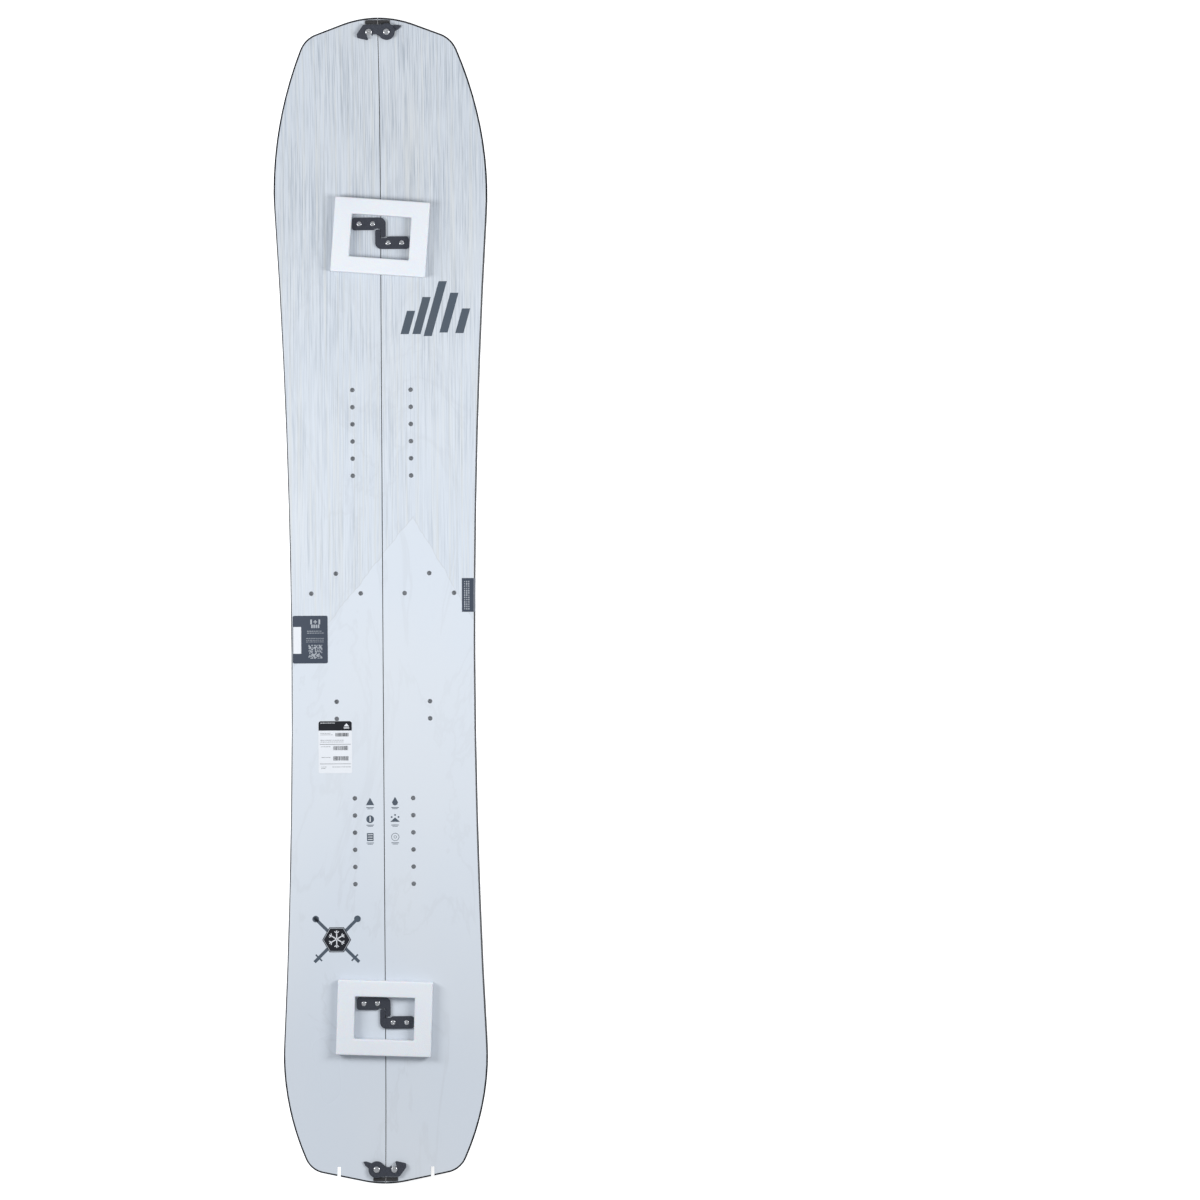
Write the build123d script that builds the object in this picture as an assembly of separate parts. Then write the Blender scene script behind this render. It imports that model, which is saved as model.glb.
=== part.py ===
from build123d import *

import os
from collections import namedtuple
from math import cos, radians, sin, sqrt, tan

os.makedirs("parts", exist_ok=True)

# Splitboard: a snowboard sawn lengthwise into two touring skis, in millimetres. It lies base down with
# its nose towards +Y, its seam along X = 0 and the floor at Z = 0. Each half is a stack of real layers.
# The joining hardware lies on the deck: two pairs of S hooks, a swinging clip at each end, and two
# foam transport guards around the hooks.

# ---- Outline, seen from above: the right half's edge from the nose apex to the tail apex ----
LENGTH = 1690.0
WAIST_HALF_WIDTH = 134.3
WAIST_Y = -95.0
SIDECUT_RADIUS = 10500.0
NOSE_HALF_WIDTH = 156.0
NOSE_APEX_RADIUS = 156.0
NOSE_FRONT_ANGLE = 19.5
NOSE_CORNER_RADIUS = 39.5
NOSE_FLANK_RADIUS = 515.0
TAIL_HALF_WIDTH = 149.0
TAIL_APEX_RADIUS = 153.0
TAIL_END_ANGLE = 11.3
TAIL_CORNER_RADIUS = 35.0
TAIL_FLANK_RADIUS = 363.0
SEAM_GAP = 0.4

# ---- Side profile: a long camber arc between two upturned tip arcs ----
CAMBER_HEIGHT = 4.0
FRONT_STATION_Y = 585.0
REAR_STATION_Y = -640.0
NOSE_RISE = 42.0
TAIL_RISE = 22.0
MID_THICKNESS = 9.0
TIP_THICKNESS = 5.0

# ---- Layers, from the base up ----
BASE_THICKNESS = 1.4
EDGE_SIZE = 2.0
EDGE_FLANGE_REACH = 6.0
LAMINATE_THICKNESS = 0.6
TOPSHEET_THICKNESS = 0.6
SIDEWALL_WIDTH = 8.0
SEAM_WALL_WIDTH = 6.0
CORE_NOSE_Y = 755.0
CORE_TAIL_Y = -740.0
BEVEL_ANGLE = 15.0
BEVEL_START_Z = 4.0
TOPSHEET_INSET = 2.4
TOPSHEET_SEAM_INSET = 0.4

# ---- Threaded inserts ----
INSERT_FLANGE_RADIUS = 7.5
INSERT_BARREL_RADIUS = 4.25
INSERT_BORE_RADIUS = 2.5
INSERT_FLANGE_THICKNESS = 1.0
INSERT_FLOOR = 0.8
INSERT_DECK_HOLE_RADIUS = 3.4
PUCK_COLUMN_X = 42.5
PUCK_PITCH = 25.0
PUCK_ROWS = 6
FRONT_PUCK_Y = 246.5
REAR_PUCK_Y = -348.5
TOUR_INSERTS = [(68.0, 41.6), (104.0, 12.6), (32.0, 12.6), (68.0, -145.0), (68.0, -170.0)]
NUT_FLANGE_RADIUS = 4.6
NUT_BARREL_RADIUS = 3.2
NUT_BORE_RADIUS = 2.0
CLIP_NUT_FLANGE_THICKNESS = 0.5
CLIP_NUT_FLOOR = 0.4

# ---- S hooks ----
FRONT_HOOK_Y = 537.0
REAR_HOOK_Y = -599.0
HOOK_REACH = 41.4
HOOK_ARM_LOW = 4.8
HOOK_ARM_HIGH = 22.9
HOOK_TIP_REACH = 7.7
HOOK_TIP_END = -5.6
HOOK_TIP_RECESS = 7.0
HOOK_TIP_GAP = 0.2
HOOK_TIP_CORNER = 3.2
HOOK_RECESS_SIDE = 0.6
HOOK_RECESS_SLOPE = 1.8
HOOK_THICKNESS = 3.2
HOOK_LIFT = 0.3
HOOK_CORNER = 9.0
HOOK_END_CORNER = 4.0
HOOK_SCREW_X = (11.2, 31.0)
HOOK_SCREW_Y = 13.9
SCREW_HEAD_RADIUS = 3.5
SCREW_HEAD_HEIGHT = 1.4
SCREW_HEAD_ROUND = 0.8
SCREW_SOCKET_RADIUS = 1.3
SCREW_SOCKET_DEPTH = 0.8
SCREW_SEAT_GAP = 0.08
SCREW_SHANK_RADIUS = 1.95
SCREW_END_GAP = 0.3
SCREW_HOLE_RADIUS = 2.1

# ---- End clips, drawn flat around the midpoint of their two posts, with the arm on the tip side ----
NOSE_CLIP_Y = 826.0
TAIL_CLIP_Y = -825.0
POST_X = 12.8
POST_FLANGE_RADIUS = 5.5
POST_FLANGE_TOP = 1.0
POST_FLANGE_ROOT = -0.6
PIVOT_NECK_RADIUS = 2.5
CATCH_NECK_RADIUS = 3.0
POST_HEAD_RADIUS = 4.5
POST_HEAD_BOTTOM = 5.2
POST_HEAD_TOP = 7.3
POST_HEAD_ROUND = 1.0
POST_SOCKET_RADIUS = 1.6
POST_SOCKET_DEPTH = 1.2
POST_SHANK_RADIUS = 1.95
POST_SHANK_END_GAP = 0.3
RUNNING_CLEARANCE = 0.06
TAB_BOTTOM = 1.1
TAB_TOP = 2.3
TAB_HUB_RADIUS = 9.0
TAB_LENGTH = 23.0
TAB_ROOT_HALF_WIDTH = 6.5
TAB_SHOULDERS = ((17.5, 3.4), (19.0, -2.6))
LEVER_BOTTOM = 2.6
LEVER_TOP = 5.0
LEVER_HUB_RADIUS = 12.0
LEVER_ARM_LOW = -3.6
LEVER_ARM_HIGH = 9.8
LEVER_ARM_START = -8.0
LEVER_BOOT = (
    (-6.0, 9.8),
    (-20.7, 9.8),
    (-30.2, -3.5),
    (-29.8, -9.0),
    (-15.7, -12.2),
    (-11.5, -10.0),
    (-6.0, -3.6),
)
LEVER_BOOT_CORNER = 1.6
LEVER_WEB = ((-2.5, -3.6), (12.8, -3.6), (8.7, -10.4))
LEVER_MOUTH_CLEARANCE = 0.35
LEVER_MOUTH_SHIFT = 2.0
LEVER_MOUTH_WIDTH = 24.0
NOSE_TAB_ANGLE = 20.0
TAIL_TAB_ANGLE = -30.0

# ---- Tip protector strips ----
PROTECTOR_REACH = 18.0
PROTECTOR_DEPTH = 5.0
PROTECTOR_EDGE_DISTANCE = 4.0
PROTECTOR_THICKNESS = 1.3
PROTECTOR_INSET = 3.4
RIB_START = 1.4
RIB_HEIGHT = 1.8
RIB_WIDTH = 0.9
RIB_PITCH = 2.2

# ---- Tail notches for climbing-skin clips ----
NOTCH_X = 68.0
NOTCH_WIDTH = 5.0
NOTCH_END_Y = -821.0

# ---- Stations where the long layers are cut across into butted lengths ----
SPLICES = (NOTCH_END_Y, CORE_TAIL_Y, -640.0, -230.0, 160.0, 585.0, 665.0, CORE_NOSE_Y)

# ---- Foam transport guards ----
GUARD_WIDTH = 138.0
GUARD_LENGTH = 109.0
GUARD_WINDOW_WIDTH = 87.0
GUARD_WINDOW_LENGTH = 62.0
GUARD_THICKNESS = 12.0
GUARD_LIFT = 0.3
GUARDS = {
    "front_foam_guard": (0.0, 531.0, -4.3),
    "rear_foam_guard": (-1.0, -606.0, -2.0),
}

# ---- Labels and hang tag ----
LABEL_THICKNESS = 0.15
PRICE_LABEL = (-95.0, -249.0, -46.0, -173.0)
CARE_LABEL = (-131.5, -89.0, -80.5, -19.5)
LABEL_CORNER = 2.5
EDGE_LABEL_Y = (-15.2, 34.0)
EDGE_LABEL_TOP_X = 115.4
EDGE_LABEL_BASE_X = 86.0
TAG_THICKNESS = 0.4
TAG_OUTLINE = [(-7.0, 289.0), (-132.0, 289.0), (-132.0, 650.0), (-60.0, 650.0), (-7.0, 570.0)]

# ---- Base inlays: angular shards in the other half's colour, and a round patch at the nose ----
RIGHT_SHARDS = [
    [(72.0, 706.0), (26.0, 560.0), (62.0, 432.0), (136.0, 516.0)],
    [(134.0, 470.0), (34.0, 392.0), (60.0, 300.0), (104.0, 120.0), (90.0, 300.0)],
]
LEFT_SHARDS = [
    [(-10.0, 470.0), (-52.0, 402.0), (-118.0, 130.0), (-26.0, 300.0)],
    [(-142.0, 500.0), (-96.0, 360.0), (-132.0, 230.0)],
]
NOSE_PATCH_RADIUS = 29.0

# ---- Working sizes: cutters reach past every piece, and past a surface by the overshoot ----
REACH_X = 220.0
REACH_Y = LENGTH / 2 + 15.0
REACH_Z = 120.0
OVERSHOOT = 1.0
JOIN_OVERLAP = 0.1
PICK_TOLERANCE = 0.01

Family = namedtuple("Family", "mid nose tail")
Surface = namedtuple("Surface", "family rise")


def unit(vector):
    return vector / vector.length


# ---- Side profile geometry, as (y, z) vectors ----
STATION_SPAN = (FRONT_STATION_Y - REAR_STATION_Y) / 2
MID_Y = (FRONT_STATION_Y + REAR_STATION_Y) / 2
CAMBER_RADIUS = (STATION_SPAN**2 + CAMBER_HEIGHT**2) / (2 * CAMBER_HEIGHT)
CAMBER_CENTRE = Vector(MID_Y, CAMBER_HEIGHT - CAMBER_RADIUS)
NOSE_NORMAL = unit(Vector(FRONT_STATION_Y, 0) - CAMBER_CENTRE)
TAIL_NORMAL = unit(Vector(REAR_STATION_Y, 0) - CAMBER_CENTRE)


def tip_radius(mid_radius, normal, tip):
    """Radius of the tip arc that leaves the mid arc tangentially at a station and passes the tip."""
    chord = tip - (CAMBER_CENTRE + normal * mid_radius)
    return chord.dot(chord) / (2 * chord.dot(normal))


def tip_family(mid_radius, extra):
    """The three radii of a surface whose tips rise as the base's do, plus extra."""
    nose = tip_radius(mid_radius, NOSE_NORMAL, Vector(LENGTH / 2, NOSE_RISE + extra))
    tail = tip_radius(mid_radius, TAIL_NORMAL, Vector(-LENGTH / 2, TAIL_RISE + extra))
    return Family(mid_radius, nose, tail)


BASE = tip_family(CAMBER_RADIUS, 0.0)
DECK = tip_family(CAMBER_RADIUS + MID_THICKNESS, TIP_THICKNESS)


def profile(surface):
    """Radii and centres of the tail, mid and nose arcs of a surface, concentric with its family's."""
    family, rise = surface
    mid = family.mid + rise
    nose = family.nose - rise
    tail = family.tail - rise
    nose_centre = CAMBER_CENTRE + NOSE_NORMAL * (mid + nose)
    tail_centre = CAMBER_CENTRE + TAIL_NORMAL * (mid + tail)
    return mid, nose, tail, nose_centre, tail_centre


NOSE_LOWEST = profile(Surface(BASE, 0.0))[3].Y - BASE.nose
REST_LIFT = TAG_THICKNESS - NOSE_LOWEST


def height(surface, y):
    """Height of a surface above the floor at a station y."""
    mid, nose, tail, nose_centre, tail_centre = profile(surface)
    if y > (CAMBER_CENTRE + NOSE_NORMAL * mid).X:
        return REST_LIFT + nose_centre.Y - sqrt(nose**2 - (y - nose_centre.X) ** 2)
    if y < (CAMBER_CENTRE + TAIL_NORMAL * mid).X:
        return REST_LIFT + tail_centre.Y - sqrt(tail**2 - (y - tail_centre.X) ** 2)
    return REST_LIFT + CAMBER_CENTRE.Y + sqrt(mid**2 - (y - CAMBER_CENTRE.X) ** 2)


def profile_edges(surface):
    """The three tangent arcs of a surface from tail to nose, in (y, z)."""
    mid = profile(surface)[0]
    tail_station = (CAMBER_CENTRE + TAIL_NORMAL * mid).X
    nose_station = (CAMBER_CENTRE + NOSE_NORMAL * mid).X
    ends = [-REACH_Y, tail_station, nose_station, REACH_Y]
    edges = []
    for start, end in zip(ends, ends[1:]):
        stations = (start, (start + end) / 2, end)
        edges.append(ThreePointArc(*[(y, height(surface, y)) for y in stations]))
    return edges


def band(lower, upper, x_low=-REACH_X, x_high=REACH_X):
    """The full-length slab between two surfaces, from x_low to x_high."""
    low_edges = profile_edges(lower)
    high_edges = profile_edges(upper)
    closing = [Line(low_edges[0] @ 0, high_edges[0] @ 0), Line(low_edges[-1] @ 1, high_edges[-1] @ 1)]
    face = make_face(low_edges + high_edges + closing)
    solid = extrude(Plane.YZ * face, amount=x_high - x_low)
    return Pos(x_low, 0, 0) * solid


# ---- Layer boundaries ----
BASE_BOTTOM = Surface(BASE, 0.0)
BASE_TOP = Surface(BASE, BASE_THICKNESS)
EDGE_TOP = Surface(BASE, EDGE_SIZE)
CORE_TOP = Surface(DECK, -TOPSHEET_THICKNESS - LAMINATE_THICKNESS)
LAMINATE_TOP = Surface(DECK, -TOPSHEET_THICKNESS)
DECK_TOP = Surface(DECK, 0.0)
UNDERGROUND = Surface(BASE, -20.0)
OVERHEAD = Surface(DECK, 40.0)


# ---- Outline geometry ----
def direction(angle):
    """Outward direction at an angle from the lengthwise axis, towards the side edge."""
    return Vector(sin(radians(angle)), cos(radians(angle)))


SIDECUT_CENTRE = Vector(WAIST_HALF_WIDTH + SIDECUT_RADIUS, WAIST_Y)


def end_geometry(half_width, apex_radius, end_angle, corner_radius, flank_radius, waist_y):
    """Centres and tangent directions of one end's arcs, drawn with the tip towards +Y."""
    sidecut = Vector(SIDECUT_CENTRE.X, waist_y)
    flank_x = half_width - flank_radius
    reach = SIDECUT_RADIUS + flank_radius
    flank = Vector(flank_x, waist_y + sqrt(reach**2 - (sidecut.X - flank_x) ** 2))
    apex = Vector(0, LENGTH / 2 - apex_radius)
    end_normal = direction(end_angle)
    along = Vector(end_normal.Y, -end_normal.X)
    start = apex + end_normal * (apex_radius - corner_radius)
    offset_from_flank = start - flank
    half_b = offset_from_flank.dot(along)
    rest = offset_from_flank.dot(offset_from_flank) - (flank_radius - corner_radius) ** 2
    corner = start + along * (sqrt(half_b**2 - rest) - half_b)
    return {
        "apex": (apex, apex_radius),
        "corner": (corner, corner_radius),
        "flank": (flank, flank_radius),
        "normals": (direction(0), end_normal, unit(corner - flank), unit(sidecut - flank)),
    }


NOSE_END = end_geometry(
    NOSE_HALF_WIDTH, NOSE_APEX_RADIUS, NOSE_FRONT_ANGLE, NOSE_CORNER_RADIUS, NOSE_FLANK_RADIUS, WAIST_Y
)
TAIL_END = end_geometry(
    TAIL_HALF_WIDTH, TAIL_APEX_RADIUS, TAIL_END_ANGLE, TAIL_CORNER_RADIUS, TAIL_FLANK_RADIUS, -WAIST_Y
)


def arc_between(centre, radius, start, end):
    """Arc about a centre between two outward directions."""
    points = [centre + n * radius for n in (start, unit(start + end), end)]
    return ThreePointArc(*points)


def end_edges(end, inset):
    """Edges of one end from its apex to the sidecut, moved inwards by inset."""
    tip, front, corner, flank = end["normals"]
    radii = {name: end[name][1] - inset for name in ("apex", "corner", "flank")}
    first = arc_between(end["apex"][0], radii["apex"], tip, front)
    second = arc_between(end["corner"][0], radii["corner"], front, corner)
    third = arc_between(end["flank"][0], radii["flank"], corner, flank)
    return [first, Line(first @ 1, second @ 0), second, third]


def half_outline(inset):
    """The face between the seam and the outer edge of the right half, moved inwards by inset."""
    nose = end_edges(NOSE_END, inset)
    tail = [mirror(edge, about=Plane.XZ) for edge in end_edges(TAIL_END, inset)]
    waist = (SIDECUT_CENTRE.X - SIDECUT_RADIUS - inset, WAIST_Y)
    sidecut = ThreePointArc(nose[-1] @ 1, waist, tail[-1] @ 1)
    seam = Line(nose[0] @ 0, tail[0] @ 0)
    return make_face(nose + [sidecut] + tail + [seam])


def prism(face):
    """A plan face as a tall upright solid."""
    return Pos(0, 0, -REACH_Z / 2) * extrude(face, amount=2 * REACH_Z, dir=(0, 0, 1))


def box_between(x_low, x_high, y_low, y_high):
    """A tall upright box over a plan rectangle."""
    centre = Pos((x_low + x_high) / 2, (y_low + y_high) / 2, REACH_Z / 2)
    return centre * Box(x_high - x_low, y_high - y_low, 2 * REACH_Z)


def half_prism(outer_inset, seam_inset):
    """The right half's plan as a tall solid, clear of its outline and of the seam line."""
    seam = box_between(SEAM_GAP / 2 + seam_inset, REACH_X, -REACH_Y, REACH_Y)
    return prism(half_outline(outer_inset)) & seam


def bevel_cutter(grow=0.0):
    """Cone about the sidecut's centre that leans the sidewall inwards above the steel edge."""
    spread = REACH_Z * tan(radians(BEVEL_ANGLE))
    radius = SIDECUT_RADIUS - grow
    cone = Cone(radius, radius + spread, REACH_Z, align=(Align.CENTER, Align.CENTER, Align.MIN))
    return Pos(SIDECUT_CENTRE.X, SIDECUT_CENTRE.Y, BEVEL_START_Z) * cone


BEVEL = bevel_cutter()
TAIL_NOTCH = box_between(NOTCH_X - NOTCH_WIDTH / 2, NOTCH_X + NOTCH_WIDTH / 2, -REACH_Y, NOTCH_END_Y)


# ---- Local frames for the end clips ----
def clip_plane(y, x_sign):
    """Plane tangent to the deck at a clip, with local Y towards the nearer tip."""
    _, nose, tail, nose_centre, tail_centre = profile(DECK_TOP)
    lean = (y - nose_centre.X) / nose if y > 0 else (y - tail_centre.X) / tail
    normal = (0, -lean, sqrt(1 - lean**2))
    return Plane(origin=(0, y, height(DECK_TOP, y)), x_dir=(x_sign, 0, 0), z_dir=normal)


NOSE_PLANE = clip_plane(NOSE_CLIP_Y, 1)
TAIL_PLANE = clip_plane(TAIL_CLIP_Y, -1)


def disc(radius, low, high, x=0.0, y=0.0):
    """Upright cylinder between two heights."""
    return Pos(x, y, low) * Cylinder(radius, high - low, align=(Align.CENTER, Align.CENTER, Align.MIN))


# ---- Threaded inserts ----
def vertical_insert(x, y, flange_radius, barrel_radius, bore_radius):
    """Body and bore of an insert whose flange sits under the core."""
    flange_low = height(EDGE_TOP, y)
    flange_top = flange_low + INSERT_FLANGE_THICKNESS
    body = disc(flange_radius, flange_low - OVERSHOOT, flange_top, x, y)
    body += disc(barrel_radius, flange_low, REACH_Z, x, y)
    bore = disc(bore_radius, flange_low + INSERT_FLOOR, REACH_Z, x, y)
    return body, bore


def clip_nut(plane, x):
    """Body and bore of the small nut under a clip post, square to the sloping deck."""
    seat = EDGE_SIZE - TIP_THICKNESS
    body = disc(NUT_FLANGE_RADIUS, -2 * TIP_THICKNESS, seat + CLIP_NUT_FLANGE_THICKNESS, x)
    body += disc(NUT_BARREL_RADIUS, -TIP_THICKNESS, OVERSHOOT, x)
    bore = disc(NUT_BORE_RADIUS, seat + CLIP_NUT_FLOOR, OVERSHOOT, x)
    return plane.location * body, plane.location * bore


def puck_places():
    """Binding insert positions on the right half, six in front and six behind."""
    places = []
    for centre in (FRONT_PUCK_Y, REAR_PUCK_Y):
        for row in range(PUCK_ROWS):
            places.append((PUCK_COLUMN_X, centre + (row - (PUCK_ROWS - 1) / 2) * PUCK_PITCH))
    return places


def hook_screw_places(side):
    """Hook screw positions on one half, as distances from the seam; side is 1 for right, -1 for left."""
    places = []
    for centre in (FRONT_HOOK_Y, REAR_HOOK_Y):
        for x in HOOK_SCREW_X:
            places.append((x, centre - side * HOOK_SCREW_Y))
    return places


def group(solids):
    """Several separate solids as one shape."""
    flat = []
    for shape in solids:
        flat.extend(shape.solids())
    return Compound(flat)


def cut_all(shape, cutters):
    """A shape with every cutter taken out of it."""
    for cutter in cutters:
        shape = shape - cutter
    return shape


def in_lengths(shape):
    """A long layer as butted lengths, cut across at the splices."""
    ends = (-REACH_Y, *SPLICES, REACH_Y)
    spans = [box_between(-REACH_X, REACH_X, low, high) for low, high in zip(ends, ends[1:])]
    lengths = [shape & span for span in spans]
    return group([length for length in lengths if length is not None])


def inserts_in(stock, bodies_and_bores):
    """Trim insert bodies to the stock they sit in and bore them."""
    return group([(body & stock) - bore for body, bore in bodies_and_bores])


# ---- One half, built on the right-hand side ----
UNCUT = half_prism(0.0, 0.0)
INSIDE_EDGES = half_prism(EDGE_SIZE, EDGE_SIZE)
INSIDE_FLANGES = half_prism(EDGE_FLANGE_REACH, EDGE_FLANGE_REACH)
INSIDE_OUTER_EDGE = half_prism(EDGE_SIZE, 0.0)
INSIDE_OUTER_FLANGE = half_prism(EDGE_FLANGE_REACH, 0.0)
INSIDE_WALLS = half_prism(SIDEWALL_WIDTH, SEAM_WALL_WIDTH)
DECK_SKIN = half_prism(TOPSHEET_INSET, TOPSHEET_SEAM_INSET) - BEVEL


def beside_seam(width):
    """A tall box along the whole seam, as wide as a strip that lines it."""
    return box_between(0, SEAM_GAP / 2 + width, -REACH_Y, REACH_Y)


def base_layers(shards):
    """The base sheet, and the inlays that fill its cut-outs."""
    blank = (INSIDE_EDGES & band(BASE_BOTTOM, BASE_TOP)) - TAIL_NOTCH
    outlines = [make_face(Polyline(*[(abs(x), y) for x, y in points], close=True)) for points in shards]
    cutters = [prism(face) for face in outlines]
    cutters.append(disc(NOSE_PATCH_RADIUS, 0, REACH_Z, 0, LENGTH / 2))
    return {
        "base_inlays": group([blank & cutter for cutter in cutters]),
        "base": in_lengths(cut_all(blank, cutters)),
    }


def steel_layers():
    """The outer and inner steel edges, each with a thin flange, and the laminate between the flanges."""
    edge_band = band(BASE_BOTTOM, EDGE_TOP)
    flange_band = band(BASE_TOP, EDGE_TOP)
    inner = UNCUT & beside_seam(EDGE_SIZE) & edge_band
    inner += INSIDE_OUTER_EDGE & beside_seam(EDGE_SIZE) & edge_band
    inner += INSIDE_OUTER_FLANGE & beside_seam(EDGE_FLANGE_REACH) & flange_band
    outer = (UNCUT - INSIDE_OUTER_EDGE) & edge_band
    outer += (UNCUT - INSIDE_OUTER_FLANGE) & flange_band
    outer = (outer - beside_seam(EDGE_SIZE)) - TAIL_NOTCH
    return {
        "outer_edge": outer - inner,
        "inner_edge": inner,
        "lower_laminate": (INSIDE_FLANGES & flange_band) - TAIL_NOTCH,
    }


def core_layers(pucks, tours, hook_nuts, clip_nuts):
    """The wood core, its sidewalls and tip spacers, and the inserts and nuts set in them."""
    blank = (UNCUT & band(EDGE_TOP, CORE_TOP)) - BEVEL
    middle = blank & box_between(-REACH_X, REACH_X, CORE_TAIL_Y, CORE_NOSE_Y)
    core = middle & INSIDE_WALLS
    walls = middle - INSIDE_WALLS
    seam_wall = beside_seam(SEAM_WALL_WIDTH)
    nose = blank & box_between(-REACH_X, REACH_X, CORE_NOSE_Y, REACH_Y)
    tail = (blank & box_between(-REACH_X, REACH_X, -REACH_Y, CORE_TAIL_Y)) - TAIL_NOTCH
    nose_nut, tail_nut = clip_nuts
    nuts = [inserts_in(core, hook_nuts), inserts_in(nose, [nose_nut]), inserts_in(tail, [tail_nut])]
    return {
        "outer_sidewall": in_lengths(walls - seam_wall),
        "inner_sidewall": in_lengths(walls & seam_wall),
        "core": in_lengths(cut_all(core, [body for body, _ in pucks + tours + hook_nuts])),
        "nose_spacer": nose - nose_nut[0],
        "tail_spacer": in_lengths(tail - tail_nut[0]),
        "puck_inserts": inserts_in(core, pucks),
        "tour_inserts": inserts_in(core, tours),
        "hardware_nuts": group(nuts),
    }


def deck_layers(hook_places, clip_places):
    """The upper laminate and the topsheet, with their holes."""
    holes = [disc(INSERT_DECK_HOLE_RADIUS, 0, REACH_Z, x, y) for x, y in puck_places() + TOUR_INSERTS]
    holes += [disc(SCREW_HOLE_RADIUS, 0, REACH_Z, x, y) for x, y in hook_places]
    for plane, x in clip_places:
        holes.append(plane.location * disc(SCREW_HOLE_RADIUS, -TIP_THICKNESS, OVERSHOOT, x))
    skin = DECK_SKIN - TAIL_NOTCH
    return {
        "upper_laminate": cut_all(skin & band(CORE_TOP, LAMINATE_TOP), holes),
        "topsheet": cut_all(skin & band(LAMINATE_TOP, DECK_TOP), holes),
    }


def half_layers(side):
    """All the laminated pieces of one half; side is 1 for right and -1 for left."""
    insert = (INSERT_FLANGE_RADIUS, INSERT_BARREL_RADIUS, INSERT_BORE_RADIUS)
    nut = (NUT_FLANGE_RADIUS, NUT_BARREL_RADIUS, NUT_BORE_RADIUS)
    hook_places = hook_screw_places(side)
    clip_places = [(NOSE_PLANE, POST_X), (TAIL_PLANE, -POST_X)]
    pucks = [vertical_insert(x, y, *insert) for x, y in puck_places()]
    tours = [vertical_insert(x, y, *insert) for x, y in TOUR_INSERTS]
    hook_nuts = [vertical_insert(x, y, *nut) for x, y in hook_places]
    clip_nuts = [clip_nut(plane, x) for plane, x in clip_places]
    layers = {
        **base_layers(RIGHT_SHARDS if side > 0 else LEFT_SHARDS),
        **steel_layers(),
        **core_layers(pucks, tours, hook_nuts, clip_nuts),
        **deck_layers(hook_places, clip_places),
    }
    if side > 0:
        return layers
    return {name: mirror(shape, about=Plane.YZ) for name, shape in layers.items()}


# ---- Hooks ----
def hook_plan():
    """Plan of the left hook about the hook centre: an arm towards -X and a tip across the seam."""
    low, high, tip = HOOK_ARM_LOW, HOOK_ARM_HIGH, HOOK_TIP_GAP
    recess = -HOOK_TIP_REACH - tip - HOOK_RECESS_SIDE
    corners = [
        (-HOOK_REACH, low),
        (-HOOK_REACH, high),
        (HOOK_TIP_REACH, high),
        (HOOK_TIP_REACH, HOOK_TIP_END),
        (tip, HOOK_TIP_END),
        (tip, HOOK_TIP_RECESS),
        (recess, HOOK_TIP_RECESS),
        (recess - HOOK_RECESS_SLOPE, low),
    ]
    face = make_face(Polyline(*corners, close=True))
    by_reach = face.vertices().sort_by(Axis.X)
    face = fillet(by_reach[:2], HOOK_END_CORNER)
    outer = face.vertices().filter_by(lambda v: abs(v.X - HOOK_TIP_REACH) < PICK_TOLERANCE)
    top = outer.sort_by(Axis.Y)[-1]
    face = fillet(top, HOOK_CORNER)
    outer = face.vertices().filter_by(lambda v: abs(v.Y - HOOK_TIP_END) < PICK_TOLERANCE)
    return fillet(outer, HOOK_TIP_CORNER)


def hook(y, side):
    """One hook plate on the deck, lifted clear of it where it crosses the seam."""
    turn = 180 if side > 0 else 0
    plan = Pos(0, y, 0) * Rot(0, 0, turn) * hook_plan()
    plate = prism(plan) & band(DECK_TOP, Surface(DECK, HOOK_THICKNESS))
    across_seam = (-REACH_X, 0) if side > 0 else (0, REACH_X)
    plate = plate - band(UNDERGROUND, Surface(DECK, HOOK_LIFT), *across_seam)
    holes = [disc(SCREW_HOLE_RADIUS, 0, REACH_Z, side * x, y - side * HOOK_SCREW_Y) for x in HOOK_SCREW_X]
    return cut_all(plate, holes)


def domed(radius, low, high, rounding, x=0.0):
    """Upright cylinder with a rounded top rim."""
    blank = disc(radius, low, high, x)
    return fillet(blank.edges().sort_by(Axis.Z)[-1], rounding)


def hook_screws(side):
    """The four screws of one half's hooks, with domed heads and round sockets."""
    socket_low = SCREW_HEAD_HEIGHT - SCREW_SOCKET_DEPTH
    head = domed(SCREW_HEAD_RADIUS, 0.0, SCREW_HEAD_HEIGHT, SCREW_HEAD_ROUND)
    head = head - disc(SCREW_SOCKET_RADIUS, socket_low, SCREW_HEAD_HEIGHT + OVERSHOOT)
    screws = []
    for x, y in hook_screw_places(side):
        seat = height(DECK_TOP, y) + HOOK_THICKNESS + SCREW_SEAT_GAP
        low = height(EDGE_TOP, y) + INSERT_FLOOR + SCREW_END_GAP
        shank = disc(SCREW_SHANK_RADIUS, low, seat + JOIN_OVERLAP, side * x, y)
        screws.append(Pos(side * x, y, seat) * head + shank)
    return group(screws)


# ---- End clips ----
def post(x, neck_radius):
    """A shouldered post with a domed, socketed head, in a clip's local frame."""
    flange = disc(POST_FLANGE_RADIUS, POST_FLANGE_ROOT, POST_FLANGE_TOP, x)
    neck = disc(neck_radius, 0.0, POST_HEAD_BOTTOM + JOIN_OVERLAP, x)
    head = domed(POST_HEAD_RADIUS, POST_HEAD_BOTTOM, POST_HEAD_TOP, POST_HEAD_ROUND, x)
    head = head - disc(POST_SOCKET_RADIUS, POST_HEAD_TOP - POST_SOCKET_DEPTH, POST_HEAD_TOP + OVERSHOOT, x)
    return flange + neck + head


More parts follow.
